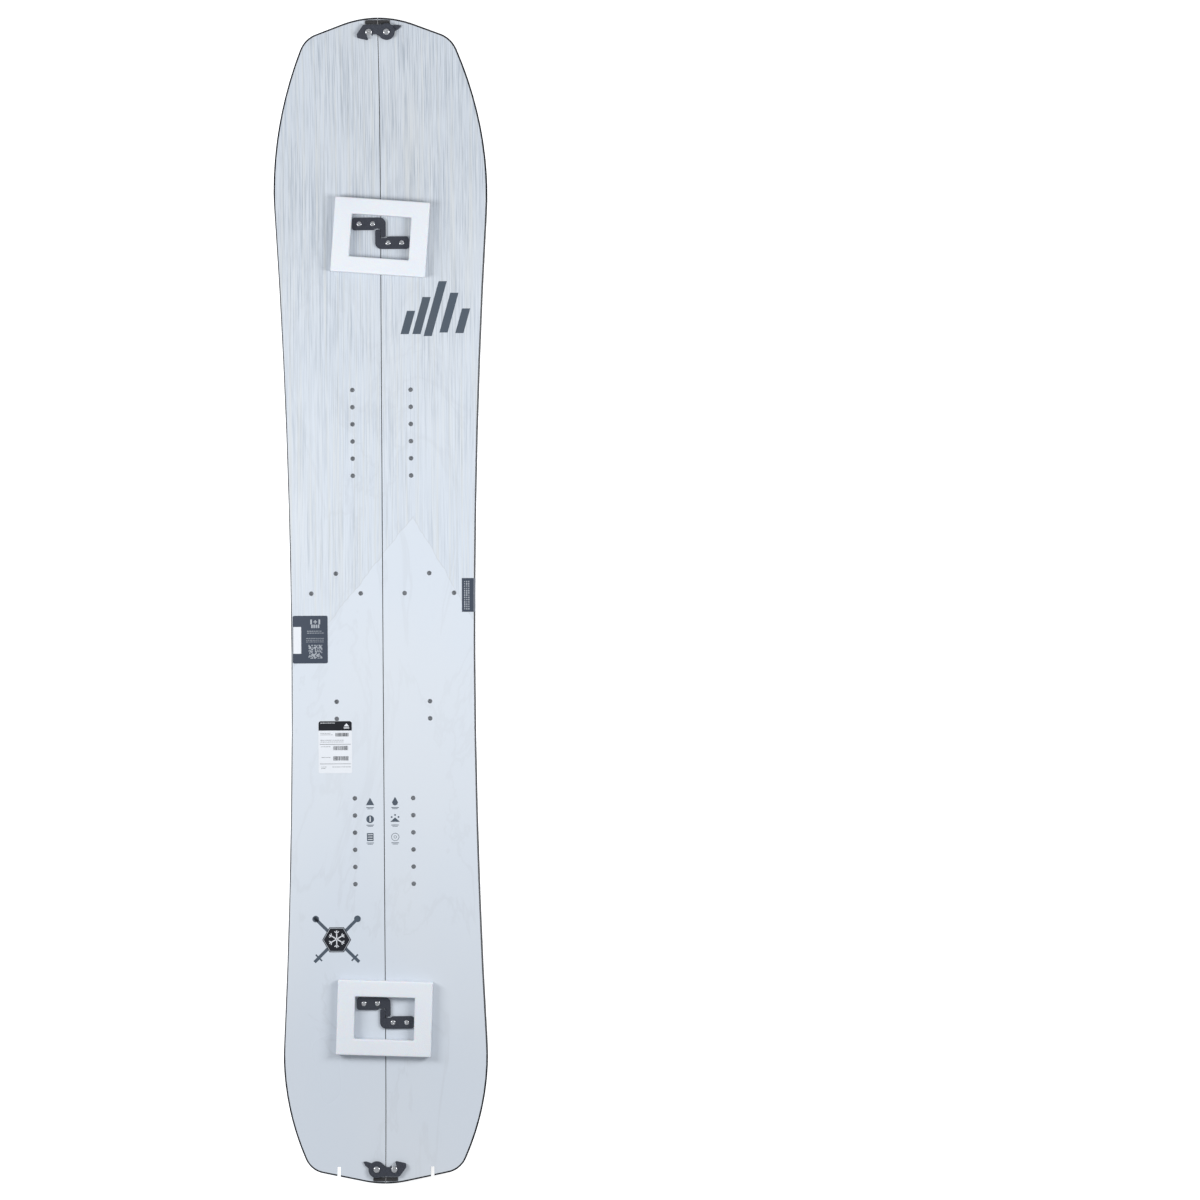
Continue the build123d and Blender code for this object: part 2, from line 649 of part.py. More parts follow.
def placed_post(plane, x, neck_radius):
    """A post seated on the deck, with its shank in the nut below."""
    above = plane.location * post(x, neck_radius) - band(UNDERGROUND, DECK_TOP)
    shank_low = EDGE_SIZE - TIP_THICKNESS + CLIP_NUT_FLOOR + POST_SHANK_END_GAP
    shank = disc(POST_SHANK_RADIUS, shank_low, 2 * JOIN_OVERLAP, x)
    return above + plane.location * shank


def lever_mouth():
    """The hooked slot that slides round the catch post as the lever swings about its pivot."""
    neck = CATCH_NECK_RADIUS + LEVER_MOUTH_CLEARANCE
    span = 2 * POST_X
    ring = Pos(POST_X, 0) * (Circle(span + neck) - Circle(span - neck))
    window = Rectangle(LEVER_MOUTH_WIDTH, span, align=(Align.CENTER, Align.MAX))
    return (ring & (Pos(-POST_X - LEVER_MOUTH_SHIFT, 0) * window)) + Pos(-POST_X, 0) * Circle(neck)


def lever():
    """The clip lever in its local frame: a hub on the pivot, an arm, and a boot around the catch."""
    boot = make_face(Polyline(*LEVER_BOOT, close=True))
    plan = fillet(boot.vertices().sort_by(Axis.X)[:3], LEVER_BOOT_CORNER)
    arm_length = POST_X - LEVER_ARM_START
    arm = Rectangle(arm_length, LEVER_ARM_HIGH - LEVER_ARM_LOW, align=(Align.MIN, Align.MIN))
    plan += Pos(LEVER_ARM_START, LEVER_ARM_LOW) * arm
    plan += make_face(Polyline(*LEVER_WEB, close=True))
    plan += Pos(POST_X, 0) * Circle(LEVER_HUB_RADIUS)
    plan = plan - lever_mouth()
    plan = plan - Pos(POST_X, 0) * Circle(PIVOT_NECK_RADIUS + RUNNING_CLEARANCE)
    body = Pos(0, 0, LEVER_BOTTOM) * extrude(plan, amount=LEVER_TOP - LEVER_BOTTOM, dir=(0, 0, 1))
    return max(body.solids(), key=lambda solid: solid.volume)


def tension_tab(angle):
    """The pointed tab under the lever, turned by an angle about the pivot."""
    upper, lower = TAB_SHOULDERS
    root = TAB_ROOT_HALF_WIDTH
    point = make_face(Polyline((0, root), upper, (TAB_LENGTH, 0), lower, (0, -root), close=True))
    plan = Circle(TAB_HUB_RADIUS) + point
    plan = plan - Circle(PIVOT_NECK_RADIUS + RUNNING_CLEARANCE)
    plan = Pos(POST_X, 0) * Rot(0, 0, angle) * plan
    return Pos(0, 0, TAB_BOTTOM) * extrude(plan, amount=TAB_TOP - TAB_BOTTOM, dir=(0, 0, 1))


def protector(tip_sign):
    """A ribbed strip between a clip and its tip on the right half; tip_sign is 1 at the nose."""
    high = LENGTH / 2 - PROTECTOR_EDGE_DISTANCE
    low = high - PROTECTOR_DEPTH
    y_low, y_high = (low, high) if tip_sign > 0 else (-high, -low)
    skin = half_prism(PROTECTOR_INSET, TOPSHEET_SEAM_INSET)
    pad = skin & box_between(0, PROTECTOR_REACH, y_low, y_high)
    strip = pad & band(DECK_TOP, Surface(DECK, PROTECTOR_THICKNESS))
    rib_band = pad & band(DECK_TOP, Surface(DECK, RIB_HEIGHT))
    for index in range(int(PROTECTOR_REACH / RIB_PITCH)):
        x = RIB_START + index * RIB_PITCH
        strip = strip + (rib_band & box_between(x, x + RIB_WIDTH, -REACH_Y, REACH_Y))
    return strip


# ---- Foam guards ----
def foam_guard(x, y, angle):
    """A rectangular foam frame lying over the seam around a pair of hooks."""
    reach = GUARD_LENGTH / 2 + GUARD_WIDTH / 2 * sin(radians(abs(angle)))
    bottom = GUARD_LIFT + max(height(DECK_TOP, station) for station in (y - reach, y, y + reach))
    plan = Rectangle(GUARD_WIDTH, GUARD_LENGTH) - Rectangle(GUARD_WINDOW_WIDTH, GUARD_WINDOW_LENGTH)
    plan = Pos(x, y) * Rot(0, 0, angle) * plan
    return Pos(0, 0, bottom) * extrude(plan, amount=GUARD_THICKNESS, dir=(0, 0, 1))


# ---- Labels ----
def deck_label(x_low, y_low, x_high, y_high):
    """A flat label on the left half's deck, trimmed to its topsheet."""
    layer = band(DECK_TOP, Surface(DECK, LABEL_THICKNESS))
    centre = Pos((x_low + x_high) / 2, (y_low + y_high) / 2)
    plan = centre * RectangleRounded(x_high - x_low, y_high - y_low, LABEL_CORNER)
    return mirror(DECK_SKIN, about=Plane.YZ) & layer & prism(plan)


def edge_label():
    """A label folded round the right half's outer edge, from the deck to the base."""
    outside = half_prism(-LABEL_THICKNESS, 0.0) - bevel_cutter(LABEL_THICKNESS)
    outside = outside & band(Surface(BASE, -LABEL_THICKNESS), Surface(DECK, LABEL_THICKNESS))
    board = (UNCUT & band(BASE_BOTTOM, DECK_TOP)) - (BEVEL - band(UNDERGROUND, EDGE_TOP))
    wrap = (outside - board) & box_between(EDGE_LABEL_BASE_X, REACH_X, *EDGE_LABEL_Y)
    deck_part = band(CORE_TOP, OVERHEAD, 0, EDGE_LABEL_TOP_X)
    return wrap - deck_part


def hang_tag():
    """A thin card against the left half's base."""
    card = prism(make_face(Polyline(*TAG_OUTLINE, close=True)))
    return card & band(Surface(BASE, -TAG_THICKNESS), BASE_BOTTOM)


def build():
    """Every node of the splitboard by name."""
    nodes = {}
    for name, side in (("left", -1), ("right", 1)):
        for layer, shape in half_layers(side).items():
            nodes[f"{name}_{layer}"] = shape
        nodes[f"{name}_hook_screws"] = hook_screws(side)
        nodes[f"front_{name}_hook"] = hook(FRONT_HOOK_Y, side)
        nodes[f"rear_{name}_hook"] = hook(REAR_HOOK_Y, side)
    clips = (("nose", 1, NOSE_PLANE, NOSE_TAB_ANGLE), ("tail", -1, TAIL_PLANE, TAIL_TAB_ANGLE))
    for end, tip_sign, plane, tab_angle in clips:
        nodes[f"{end}_pivot_post"] = placed_post(plane, POST_X, PIVOT_NECK_RADIUS)
        nodes[f"{end}_catch_post"] = placed_post(plane, -POST_X, CATCH_NECK_RADIUS)
        nodes[f"{end}_lever"] = plane.location * lever()
        nodes[f"{end}_tension_tab"] = plane.location * tension_tab(tab_angle)
        strip = protector(tip_sign)
        nodes[f"{end}_right_protector"] = strip
        nodes[f"{end}_left_protector"] = mirror(strip, about=Plane.YZ)
    for name, place in GUARDS.items():
        nodes[name] = foam_guard(*place)
    nodes["price_label"] = deck_label(*PRICE_LABEL)
    nodes["care_label"] = deck_label(*CARE_LABEL)
    nodes["edge_label"] = edge_label()
    nodes["hang_tag"] = hang_tag()
    return nodes


for node, shape in build().items():
    export_step(shape, f"parts/{node}.step")
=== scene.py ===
import math
import random
from typing import NamedTuple

import bmesh
import bpy
from mathutils import Matrix, Vector
from mathutils.bvhtree import BVHTree


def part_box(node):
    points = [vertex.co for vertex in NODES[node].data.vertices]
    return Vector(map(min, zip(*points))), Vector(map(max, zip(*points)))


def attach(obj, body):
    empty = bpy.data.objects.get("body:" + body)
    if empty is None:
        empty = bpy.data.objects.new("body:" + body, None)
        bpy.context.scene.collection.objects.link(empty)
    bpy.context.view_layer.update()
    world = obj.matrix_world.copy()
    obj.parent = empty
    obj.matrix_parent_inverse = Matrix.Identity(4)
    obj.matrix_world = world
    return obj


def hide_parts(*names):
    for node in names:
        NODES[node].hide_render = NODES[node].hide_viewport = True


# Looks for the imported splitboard. Lengths on the board are in millimetres in the part's own frame, and
# MM turns them into the scene's metres. Textures are in metres. Places are read from the CAD nodes
# wherever a node gives them.

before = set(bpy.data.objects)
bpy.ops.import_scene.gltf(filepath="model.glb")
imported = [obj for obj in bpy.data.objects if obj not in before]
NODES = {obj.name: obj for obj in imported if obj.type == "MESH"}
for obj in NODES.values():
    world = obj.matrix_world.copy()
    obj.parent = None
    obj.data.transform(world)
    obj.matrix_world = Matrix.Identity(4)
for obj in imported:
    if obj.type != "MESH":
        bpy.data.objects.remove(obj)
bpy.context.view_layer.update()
MM = 0.001
RANDOM_SEED = 11
random.seed(RANDOM_SEED)

# ---- Colours, linear ----
PALE_DECK = (0.590, 0.640, 0.705)
DECK_CLOUD = (0.630, 0.660, 0.695)
DECK_VEIN = (0.500, 0.535, 0.585)
DECK_OUTLINE = (0.460, 0.480, 0.500)
PALE_STREAK = (0.340, 0.385, 0.445)
WARM_STREAK = (0.610, 0.620, 0.600)
PALE_BASE = (0.530, 0.588, 0.644)
PALE_BASE_SHADE = (0.500, 0.556, 0.610)
BLACK_BASE = (0.010, 0.011, 0.013)
BLACK_BASE_SHADE = (0.016, 0.018, 0.022)
BLACK_HAZE = (0.055, 0.058, 0.076)
PATCH_GREY = (0.200, 0.210, 0.220)
PRINT_TAIL = (0.060, 0.070, 0.096)
PRINT_MIDDLE = (0.140, 0.172, 0.226)
PRINT_NOSE = (0.035, 0.042, 0.053)
PRINT_STROKE = (0.022, 0.027, 0.036)
# Pale stroke colour: partly printed snow, partly painted glints that stand for light reflected off a clear
# film.
PRINT_SNOW_AND_FILM_GLINT = (0.260, 0.300, 0.350)
EDGE_GREY = (0.220, 0.225, 0.240)
INSERT_GREY = (0.500, 0.520, 0.550)
ABS_DARK = (0.008, 0.008, 0.010)
ABS_LIGHT = (0.022, 0.023, 0.027)
ANODISED_DARK = (0.062, 0.068, 0.086)
ANODISED_LIGHT = (0.098, 0.106, 0.130)
STAINLESS_DARK = (0.660, 0.670, 0.690)
STAINLESS_LIGHT = (0.800, 0.810, 0.830)
WOOD_LIGHT = (0.560, 0.390, 0.210)
WOOD_DARK = (0.360, 0.220, 0.100)
WOOD_JOINT = (0.200, 0.110, 0.050)
RESIN_DARK = (0.420, 0.430, 0.320)
RESIN_LIGHT = (0.580, 0.590, 0.470)
RUBBER_DARK = (0.016, 0.016, 0.018)
RUBBER_LIGHT = (0.045, 0.045, 0.048)
FOAM_WHITE = (0.705, 0.735, 0.780)
FOAM_SOIL = (0.740, 0.760, 0.790)
FOAM_CELL = (0.600, 0.620, 0.660)
PAPER = (0.700, 0.725, 0.765)
PAPER_SHADE = (0.680, 0.705, 0.745)
LABEL_FILM = (0.050, 0.062, 0.086)
LABEL_FILM_SHADE = (0.056, 0.068, 0.094)
KRAFT = (0.300, 0.180, 0.100)
KRAFT_SHADE = (0.340, 0.210, 0.120)
TAG_BROWN = (0.018, 0.013, 0.011)
TAG_BROWN_SHADE = (0.026, 0.019, 0.016)
SLATE = (0.064, 0.086, 0.114)
SLATE_SHADE = (0.072, 0.090, 0.115)
INK = (0.018, 0.020, 0.026)
INK_SHADE = (0.014, 0.016, 0.020)
LABEL_GREY = (0.330, 0.360, 0.400)
LABEL_GREY_SHADE = (0.400, 0.430, 0.470)
FLOOR_PALE = (0.860, 0.865, 0.870)
FLOOR_SHADE = (0.880, 0.885, 0.890)
FLOOR_LIGHT = (1.0, 1.0, 1.0)
SURROUND = (0.93, 0.96, 1.0, 1.0)


# ======================================================================================
# Shader builder
# ======================================================================================
class Grain(NamedTuple):
    """A noise texture: cells for each metre along every axis, and the noise's character."""

    across: float
    along: float
    up: float = 1.0
    turn: float = 0.0
    detail: float = 3.0
    roughness: float = 0.5
    distortion: float = 0.0


class Span(NamedTuple):
    """A smooth step: the value's range, and the range that it becomes."""

    low: float
    high: float
    to_low: float = 0.0
    to_high: float = 1.0


NOISE_MIDDLE = 0.5
BEVEL_SAMPLES = 4
MIX_FIRST, MIX_SECOND, MIX_RESULT = 6, 7, 2


class Shader:
    """A small builder for one principled material."""

    def __init__(self, name):
        self.material = bpy.data.materials.new(name)
        self.material.use_nodes = True
        self.tree = self.material.node_tree
        self.surface = self.tree.nodes["Principled BSDF"]
        coords = self.tree.nodes.new("ShaderNodeTexCoord")
        self.place = coords.outputs["Object"]
        split = self.tree.nodes.new("ShaderNodeSeparateXYZ")
        self.tree.links.new(self.place, split.inputs[0])
        self.x, self.y, self.z = split.outputs

    def feed(self, socket, value):
        """Link an output to the socket, or set the socket's own value."""
        if hasattr(value, "is_output"):
            self.tree.links.new(value, socket)
        elif isinstance(value, tuple) and len(value) == 3 and socket.type == "RGBA":
            socket.default_value = (*value, 1.0)
        else:
            socket.default_value = value

    def set(self, **values):
        """Feed the principled shader's sockets, named with underscores for spaces."""
        for name, value in values.items():
            self.feed(self.surface.inputs[name.replace("_", " ")], value)
        return self

    def math(self, operation, first, second=0.0, clamp=False):
        node = self.tree.nodes.new("ShaderNodeMath")
        node.operation = operation
        node.use_clamp = clamp
        self.feed(node.inputs[0], first)
        self.feed(node.inputs[1], second)
        return node.outputs[0]

    def plus(self, first, second):
        return self.math("ADD", first, second)

    def minus(self, first, second):
        return self.math("SUBTRACT", first, second)

    def times(self, first, second, clamp=False):
        return self.math("MULTIPLY", first, second, clamp)

    def joined(self, across, along):
        """A texture vector from two values."""
        node = self.tree.nodes.new("ShaderNodeCombineXYZ")
        self.feed(node.inputs[0], across)
        self.feed(node.inputs[1], along)
        return node.outputs[0]

    def noise(self, vector, grain):
        node = self.tree.nodes.new("ShaderNodeTexNoise")
        self.tree.links.new(vector, node.inputs["Vector"])
        node.inputs["Scale"].default_value = 1.0
        node.inputs["Detail"].default_value = grain.detail
        node.inputs["Roughness"].default_value = grain.roughness
        node.inputs["Distortion"].default_value = grain.distortion
        return node.outputs["Fac"]

    def grain(self, grain):
        """Noise on the object's own coordinates, stretched and turned."""
        node = self.tree.nodes.new("ShaderNodeMapping")
        node.inputs["Scale"].default_value = (grain.across, grain.along, grain.up)
        node.inputs["Rotation"].default_value = (0.0, 0.0, grain.turn)
        self.tree.links.new(self.place, node.inputs["Vector"])
        return self.noise(node.outputs[0], grain)

    def cells(self, scale):
        """Distance to the middle of the nearest cell."""
        node = self.tree.nodes.new("ShaderNodeTexVoronoi")
        node.feature = "F1"
        self.tree.links.new(self.place, node.inputs["Vector"])
        node.inputs["Scale"].default_value = scale
        return node.outputs["Distance"]

    def remap(self, value, span):
        node = self.tree.nodes.new("ShaderNodeMapRange")
        node.interpolation_type = "SMOOTHSTEP"
        self.feed(node.inputs["Value"], value)
        node.inputs["From Min"].default_value = span.low
        node.inputs["From Max"].default_value = span.high
        node.inputs["To Min"].default_value = span.to_low
        node.inputs["To Max"].default_value = span.to_high
        return node.outputs["Result"]

    def mix(self, factor, first, second):
        node = self.tree.nodes.new("ShaderNodeMix")
        node.data_type = "RGBA"
        self.feed(node.inputs["Factor"], factor)
        self.feed(node.inputs[MIX_FIRST], first)
        self.feed(node.inputs[MIX_SECOND], second)
        return node.outputs[MIX_RESULT]

    def ramp(self, value, stops):
        node = self.tree.nodes.new("ShaderNodeValToRGB")
        self.feed(node.inputs["Fac"], value)
        elements = node.color_ramp.elements
        for position, _ in stops[1:-1]:
            elements.new(position)
        for element, (position, level) in zip(elements, stops):
            element.position = position
            element.color = (level, level, level, 1.0)
        return node.outputs["Color"]

    def bump(self, height, strength, distance):
        node = self.tree.nodes.new("ShaderNodeBump")
        node.inputs["Strength"].default_value = strength
        node.inputs["Distance"].default_value = distance
        self.tree.links.new(height, node.inputs["Height"])
        self.tree.links.new(node.outputs["Normal"], self.surface.inputs["Normal"])
        return self

    def soft_edges(self, radius):
        """Rounds the edges' highlights, as a broken edge on a machined part does."""
        node = self.tree.nodes.new("ShaderNodeBevel")
        node.samples = BEVEL_SAMPLES
        node.inputs["Radius"].default_value = radius
        self.tree.links.new(node.outputs["Normal"], self.surface.inputs["Normal"])
        return self


def darker(colour, factor):
    return tuple(channel * factor for channel in colour)


# ======================================================================================
# Topsheet
# ======================================================================================
# The streaked nose zone ends in a low peak: its top and the two slopes of its boundary.
PEAK_X, PEAK_Y = 45.0, 125.0
LEFT_SLOPE, RIGHT_SLOPE = 1.25, 1.76
BOUNDARY_WOBBLE = Grain(30, 30, detail=4.0)
BOUNDARY_WOBBLE_REACH = 0.02
BOUNDARY_SOFTNESS = Span(-0.0015, 0.0015)
OUTLINE_WIDTH = Span(0.0003, 0.0016, 0.45, 0.0)
OUTLINE_START = Span(-0.04, -0.02)

STREAK_FINE = Grain(840, 6.0, detail=4.0, roughness=0.68)
STREAK_DASHES = Grain(900, 18.0, detail=2.0)
STREAK_PATCHES = Grain(16, 7.0, detail=2.0)
STREAK_BROAD = Grain(230, 2.6, detail=2.0)
FINE_SPAN = Span(0.43, 0.62)
DASHES_SPAN = Span(0.28, 0.56)
PATCHES_SPAN = Span(0.30, 0.62, 0.50, 1.0)
NOSE_FADE = Span(0.0, 0.75, 0.50, 1.0)
WARM_SPAN = Span(0.46, 0.70)
WARM_STRENGTH = 0.5

MARBLE = Grain(7, 2.6, detail=5.0, roughness=0.6, distortion=0.9)
MARBLE_VEIN = Span(0.0, 0.022, 1.0, 0.0)
VEIN_STRENGTH = 0.32
DECK_CLOUDS = Grain(4, 2.2)
CLOUD_TONE = Span(0.3, 0.7, 0.0, 0.5)
CLOUD_GLOSS = Span(0.2, 0.8, 0.26, 0.36)


def above_boundary(s):
    """Signed distance along the board from the ragged, peaked boundary, positive on the nose side."""
    from_peak = s.minus(s.x, PEAK_X * MM)
    right = s.times(s.math("MAXIMUM", from_peak, 0.0), RIGHT_SLOPE)
    left = s.times(s.math("MAXIMUM", s.times(from_peak, -1.0), 0.0), LEFT_SLOPE)
    above = s.minus(s.plus(s.plus(s.y, left), right), PEAK_Y * MM)
    wobble = s.times(s.minus(s.grain(BOUNDARY_WOBBLE), NOISE_MIDDLE), BOUNDARY_WOBBLE_REACH)
    return s.plus(above, wobble)


def streaks(s, fine, zone):
    """Strength of the fine lengthwise grain."""
    streak = s.times(s.remap(fine, FINE_SPAN), s.remap(s.grain(STREAK_DASHES), DASHES_SPAN))
    streak = s.times(streak, s.remap(s.grain(STREAK_PATCHES), PATCHES_SPAN))
    return s.times(s.times(streak, zone), s.remap(s.y, NOSE_FADE), clamp=True)


def topsheet_material():
    """Pale printed topsheet: fine lengthwise grain ahead of a peaked boundary, faint marbling behind."""
    s = Shader("topsheet_print")
    ragged = above_boundary(s)
    zone = s.remap(ragged, BOUNDARY_SOFTNESS)
    fine = s.grain(STREAK_FINE)
    outline = s.remap(s.math("ABSOLUTE", ragged), OUTLINE_WIDTH)
    outline = s.times(outline, s.remap(s.y, OUTLINE_START))
    vein = s.remap(s.math("ABSOLUTE", s.minus(s.grain(MARBLE), NOISE_MIDDLE)), MARBLE_VEIN)
    cloud = s.grain(DECK_CLOUDS)
    warm = s.times(s.remap(s.grain(STREAK_BROAD), WARM_SPAN), zone)
    deck = s.mix(s.times(vein, VEIN_STRENGTH), PALE_DECK, DECK_VEIN)
    deck = s.mix(s.remap(cloud, CLOUD_TONE), deck, DECK_CLOUD)
    deck = s.mix(s.times(warm, WARM_STRENGTH), deck, WARM_STREAK)
    deck = s.mix(streaks(s, fine, zone), deck, PALE_STREAK)
    deck = s.mix(outline, deck, DECK_OUTLINE)
    s.set(Base_Color=deck, Roughness=s.remap(cloud, CLOUD_GLOSS))
    s.set(Specular_IOR_Level=0.45, Coat_Weight=0.25, Coat_Roughness=0.12)
    return s.bump(fine, strength=0.12, distance=0.0002).material


# ======================================================================================
# Base
# ======================================================================================
BASE_CLOUDS = Grain(14, 6, detail=5.0, roughness=0.6)
BASE_SPECKS = Grain(900, 900, detail=1.0)
BASE_GRIND = Grain(2400, 40, detail=2.0)
BASE_CLOUD_TONE = Span(0.3, 0.7)
BASE_SPECK_TONE = Span(0.55, 0.80)
BASE_SPECK_STRENGTH = 0.12
BASE_GLOSS = Span(0.3, 0.7, 0.30, 0.46)


def polyethylene(name, colour, shade, paint=None):
    """Sintered base sheet: cloudy colour, a fine lengthwise stone-ground structure, and any print."""
    s = Shader(name)
    tone = s.mix(s.remap(s.grain(BASE_CLOUDS), BASE_CLOUD_TONE), colour, shade)
    speck = s.times(s.remap(s.grain(BASE_SPECKS), BASE_SPECK_TONE), BASE_SPECK_STRENGTH)
    tone = s.mix(speck, tone, shade)
    if paint:
        tone = paint(s, tone)
    grind = s.grain(BASE_GRIND)
    s.set(Base_Color=tone, Roughness=s.remap(grind, BASE_GLOSS), Specular_IOR_Level=0.25)
    return s.bump(grind, strength=0.25, distance=0.0001).material


# Boundary of the printed ridge on the black base, tail (0) to nose (1), as a share of its reach.
RIDGE_STOPS = [
    (0.000, 1.00),
    (0.055, 0.88),
    (0.114, 0.67),
    (0.147, 0.50),
    (0.195, 0.39),
    (0.246, 0.31),
    (0.298, 0.17),
    (0.342, 0.00),
    (0.529, 0.00),
    (0.562, 0.55),
    (0.620, 0.60),
    (0.730, 0.55),
    (0.860, 0.46),
    (0.902, 0.37),
    (0.916, 0.27),
    (0.946, 0.23),
    (0.971, 0.12),
    (0.985, 0.00),
]
RIDGE_REACH = 0.150
BOARD_LENGTH = 1.69
RIDGE_WOBBLE = Grain(16, 16, detail=5.0, roughness=0.6)
RIDGE_WOBBLE_REACH = 0.022
RIDGE_SOFTNESS = Span(-0.0006, 0.0006)
TAIL_TO_MIDDLE = Span(-0.36, -0.12)
MIDDLE_TO_NOSE = Span(0.10, 0.62)
NOSE_CALM = Span(0.35, 0.62, 1.0, 0.15)
HAZE_END = Span(0.15, 0.50, 1.0, 0.0)
HAZE_START = Span(-0.05, 0.05)

# The strokes of the print fan out from this point on the seam.
FAN_X, FAN_Y = 0.020, 0.030
FAN_STROKES = 15.0
FAN_STEPS = 26.0
FAN_GRAIN = Grain(1, 1, detail=5.0, roughness=0.62, distortion=0.5)
LEVEL_GRAIN = Grain(18, 120, turn=0.05, detail=5.0, roughness=0.66, distortion=0.6)
FAN_START = Span(-0.36, -0.20)
STROKE_DARK = Span(0.50, 0.66, 0.0, 0.62)
# Where the pale strokes fall: printed snow together with painted film glints, a painted reflection.
STROKE_SNOW_AND_FILM_GLINT = Span(0.36, 0.26, 0.0, 0.35)


def print_strokes(s):
    """Brush strokes that fan out from the seam, and lie straight across the board nearer the tail."""
    across = s.minus(s.x, FAN_X)
    along = s.minus(s.y, FAN_Y)
    turn = s.math("ARCTAN2", along, across)
    reach = s.math("SQRT", s.plus(s.times(across, across), s.times(along, along)))
    fanned = s.noise(s.joined(s.times(turn, FAN_STROKES), s.times(reach, FAN_STEPS)), FAN_GRAIN)
    level = s.grain(LEVEL_GRAIN)
    near = s.remap(s.y, FAN_START)
    return s.plus(s.times(fanned, near), s.times(level, s.minus(1.0, near)))


def ridge_print(s, black):
    """Slate snow-and-rock print over the outer side of the black base. Its pale strokes are partly printed
    snow and partly painted glints, a painted reflection of light off a clear film.
    """
    along = s.math("DIVIDE", s.plus(s.y, BOARD_LENGTH / 2), BOARD_LENGTH)
    edge = s.times(s.ramp(along, RIDGE_STOPS), RIDGE_REACH)
    jag = s.times(s.minus(s.grain(RIDGE_WOBBLE), NOISE_MIDDLE), RIDGE_WOBBLE_REACH)
    outside = s.remap(s.minus(s.plus(s.x, jag), edge), RIDGE_SOFTNESS)
    tone = s.mix(s.remap(s.y, TAIL_TO_MIDDLE), PRINT_TAIL, PRINT_MIDDLE)
    tone = s.mix(s.remap(s.y, MIDDLE_TO_NOSE), tone, PRINT_NOSE)
    strokes = print_strokes(s)
    calm = s.remap(s.y, NOSE_CALM)
    tone = s.mix(s.times(s.remap(strokes, STROKE_DARK), calm), tone, PRINT_STROKE)
    # Pale strokes over the print: partly snow, partly a painted highlight of film glints.
    tone = s.mix(s.times(s.remap(strokes, STROKE_SNOW_AND_FILM_GLINT), calm), tone, PRINT_SNOW_AND_FILM_GLINT)
    haze = s.times(s.remap(s.y, HAZE_END), s.remap(s.y, HAZE_START))
    return s.mix(outside, s.mix(haze, black, BLACK_HAZE), tone)


NOSE_PATCH_START = Span(0.8000, 0.8005)


def nose_patch(s, tone):
    """The round inlay at the nose is grey. The shards all end well short of it."""
    return s.mix(s.remap(s.y, NOSE_PATCH_START), tone, PATCH_GREY)


# ======================================================================================
# Metals, plastics, wood, foam and sheets
# ======================================================================================
STEEL_TONE = Span(0.3, 0.7, 0.0, 0.35)
STEEL_SHADE = 0.55
STEEL_GRIND = 60
EDGE_SCRATCHES = 1200
EDGE_GLOSS = Span(0.3, 0.7, 0.28, 0.45)
INSERT_SCRATCHES = 300
INSERT_GLOSS = Span(0.3, 0.7, 0.22, 0.38)


def steel_material(name, colour, gloss, scratches):
    s = Shader(name)
    lines = s.grain(Grain(scratches, STEEL_GRIND, scratches))
    tone = s.mix(s.remap(lines, STEEL_TONE), colour, darker(colour, STEEL_SHADE))
    s.set(Base_Color=tone, Metallic=1.0, Roughness=s.remap(lines, gloss))
    return s.bump(lines, strength=0.15, distance=0.00005).material


CUTTER_MARKS = Grain(80, 700, 80, detail=2.0)
CUTTER_TONE = Span(0.35, 0.70, 0.0, 0.8)


def abs_material():
    """Machined black ABS with faint cutter marks."""
    s = Shader("abs_black")
    marks = s.grain(CUTTER_MARKS)
    tone = s.mix(s.remap(marks, CUTTER_TONE), ABS_DARK, ABS_LIGHT)
    s.set(Base_Color=tone, Roughness=0.48, Specular_IOR_Level=0.3)
    return s.bump(marks, strength=0.2, distance=0.0001).material


BLASTED = Grain(1500, 1500, 1500, detail=2.0)
BLASTED_TONE = Span(0.35, 0.65)
BLASTED_GLOSS = Span(0.3, 0.7, 0.34, 0.46)


def anodised_material():
    """Black anodised aluminium: bead-blasted, with softly broken edges."""
    s = Shader("black_anodised")
    grain = s.grain(BLASTED)
    tone = s.mix(s.remap(grain, BLASTED_TONE), ANODISED_DARK, ANODISED_LIGHT)
    s.set(Base_Color=tone, Metallic=0.85, Roughness=s.remap(grain, BLASTED_GLOSS))
    return s.soft_edges(radius=0.0004).material


POLISHED = Grain(700, 700, 700, detail=2.0)
POLISHED_TONE = Span(0.3, 0.7)
POLISHED_GLOSS = Span(0.3, 0.7, 0.16, 0.28)


def stainless_material():
    s = Shader("polished_stainless")
    grain = s.grain(POLISHED)
    tone = s.mix(s.remap(grain, POLISHED_TONE), STAINLESS_DARK, STAINLESS_LIGHT)
    s.set(Base_Color=tone, Metallic=1.0, Roughness=s.remap(grain, POLISHED_GLOSS))
    return s.soft_edges(radius=0.0003).material


WOOD_STRIPS = 70.0
WOOD_GRAIN = Grain(500, 9, detail=5.0, roughness=0.6, distortion=0.4)
WOOD_TONE = Span(0.35, 0.70)
WOOD_JOINT_SPAN = Span(0.46, 0.50)
WOOD_JOINT_STRENGTH = 0.7
STRIP_MIDDLE = 0.5


def wood_material():
    """Vertically laminated core: strips across the board with grain along it."""
    s = Shader("wood_strips")
    strip = s.math("FRACT", s.times(s.x, WOOD_STRIPS))
    joint = s.remap(s.math("ABSOLUTE", s.minus(strip, STRIP_MIDDLE)), WOOD_JOINT_SPAN)
    grain = s.grain(WOOD_GRAIN)
    tone = s.mix(s.remap(grain, WOOD_TONE), WOOD_LIGHT, WOOD_DARK)
    s.set(Base_Color=s.mix(s.times(joint, WOOD_JOINT_STRENGTH), tone, WOOD_JOINT), Roughness=0.62)
    return s.bump(grain, strength=0.2, distance=0.0002).material


WEAVE_PITCH = 2600.0
WEAVE_TONE = Span(-0.6, 0.6)


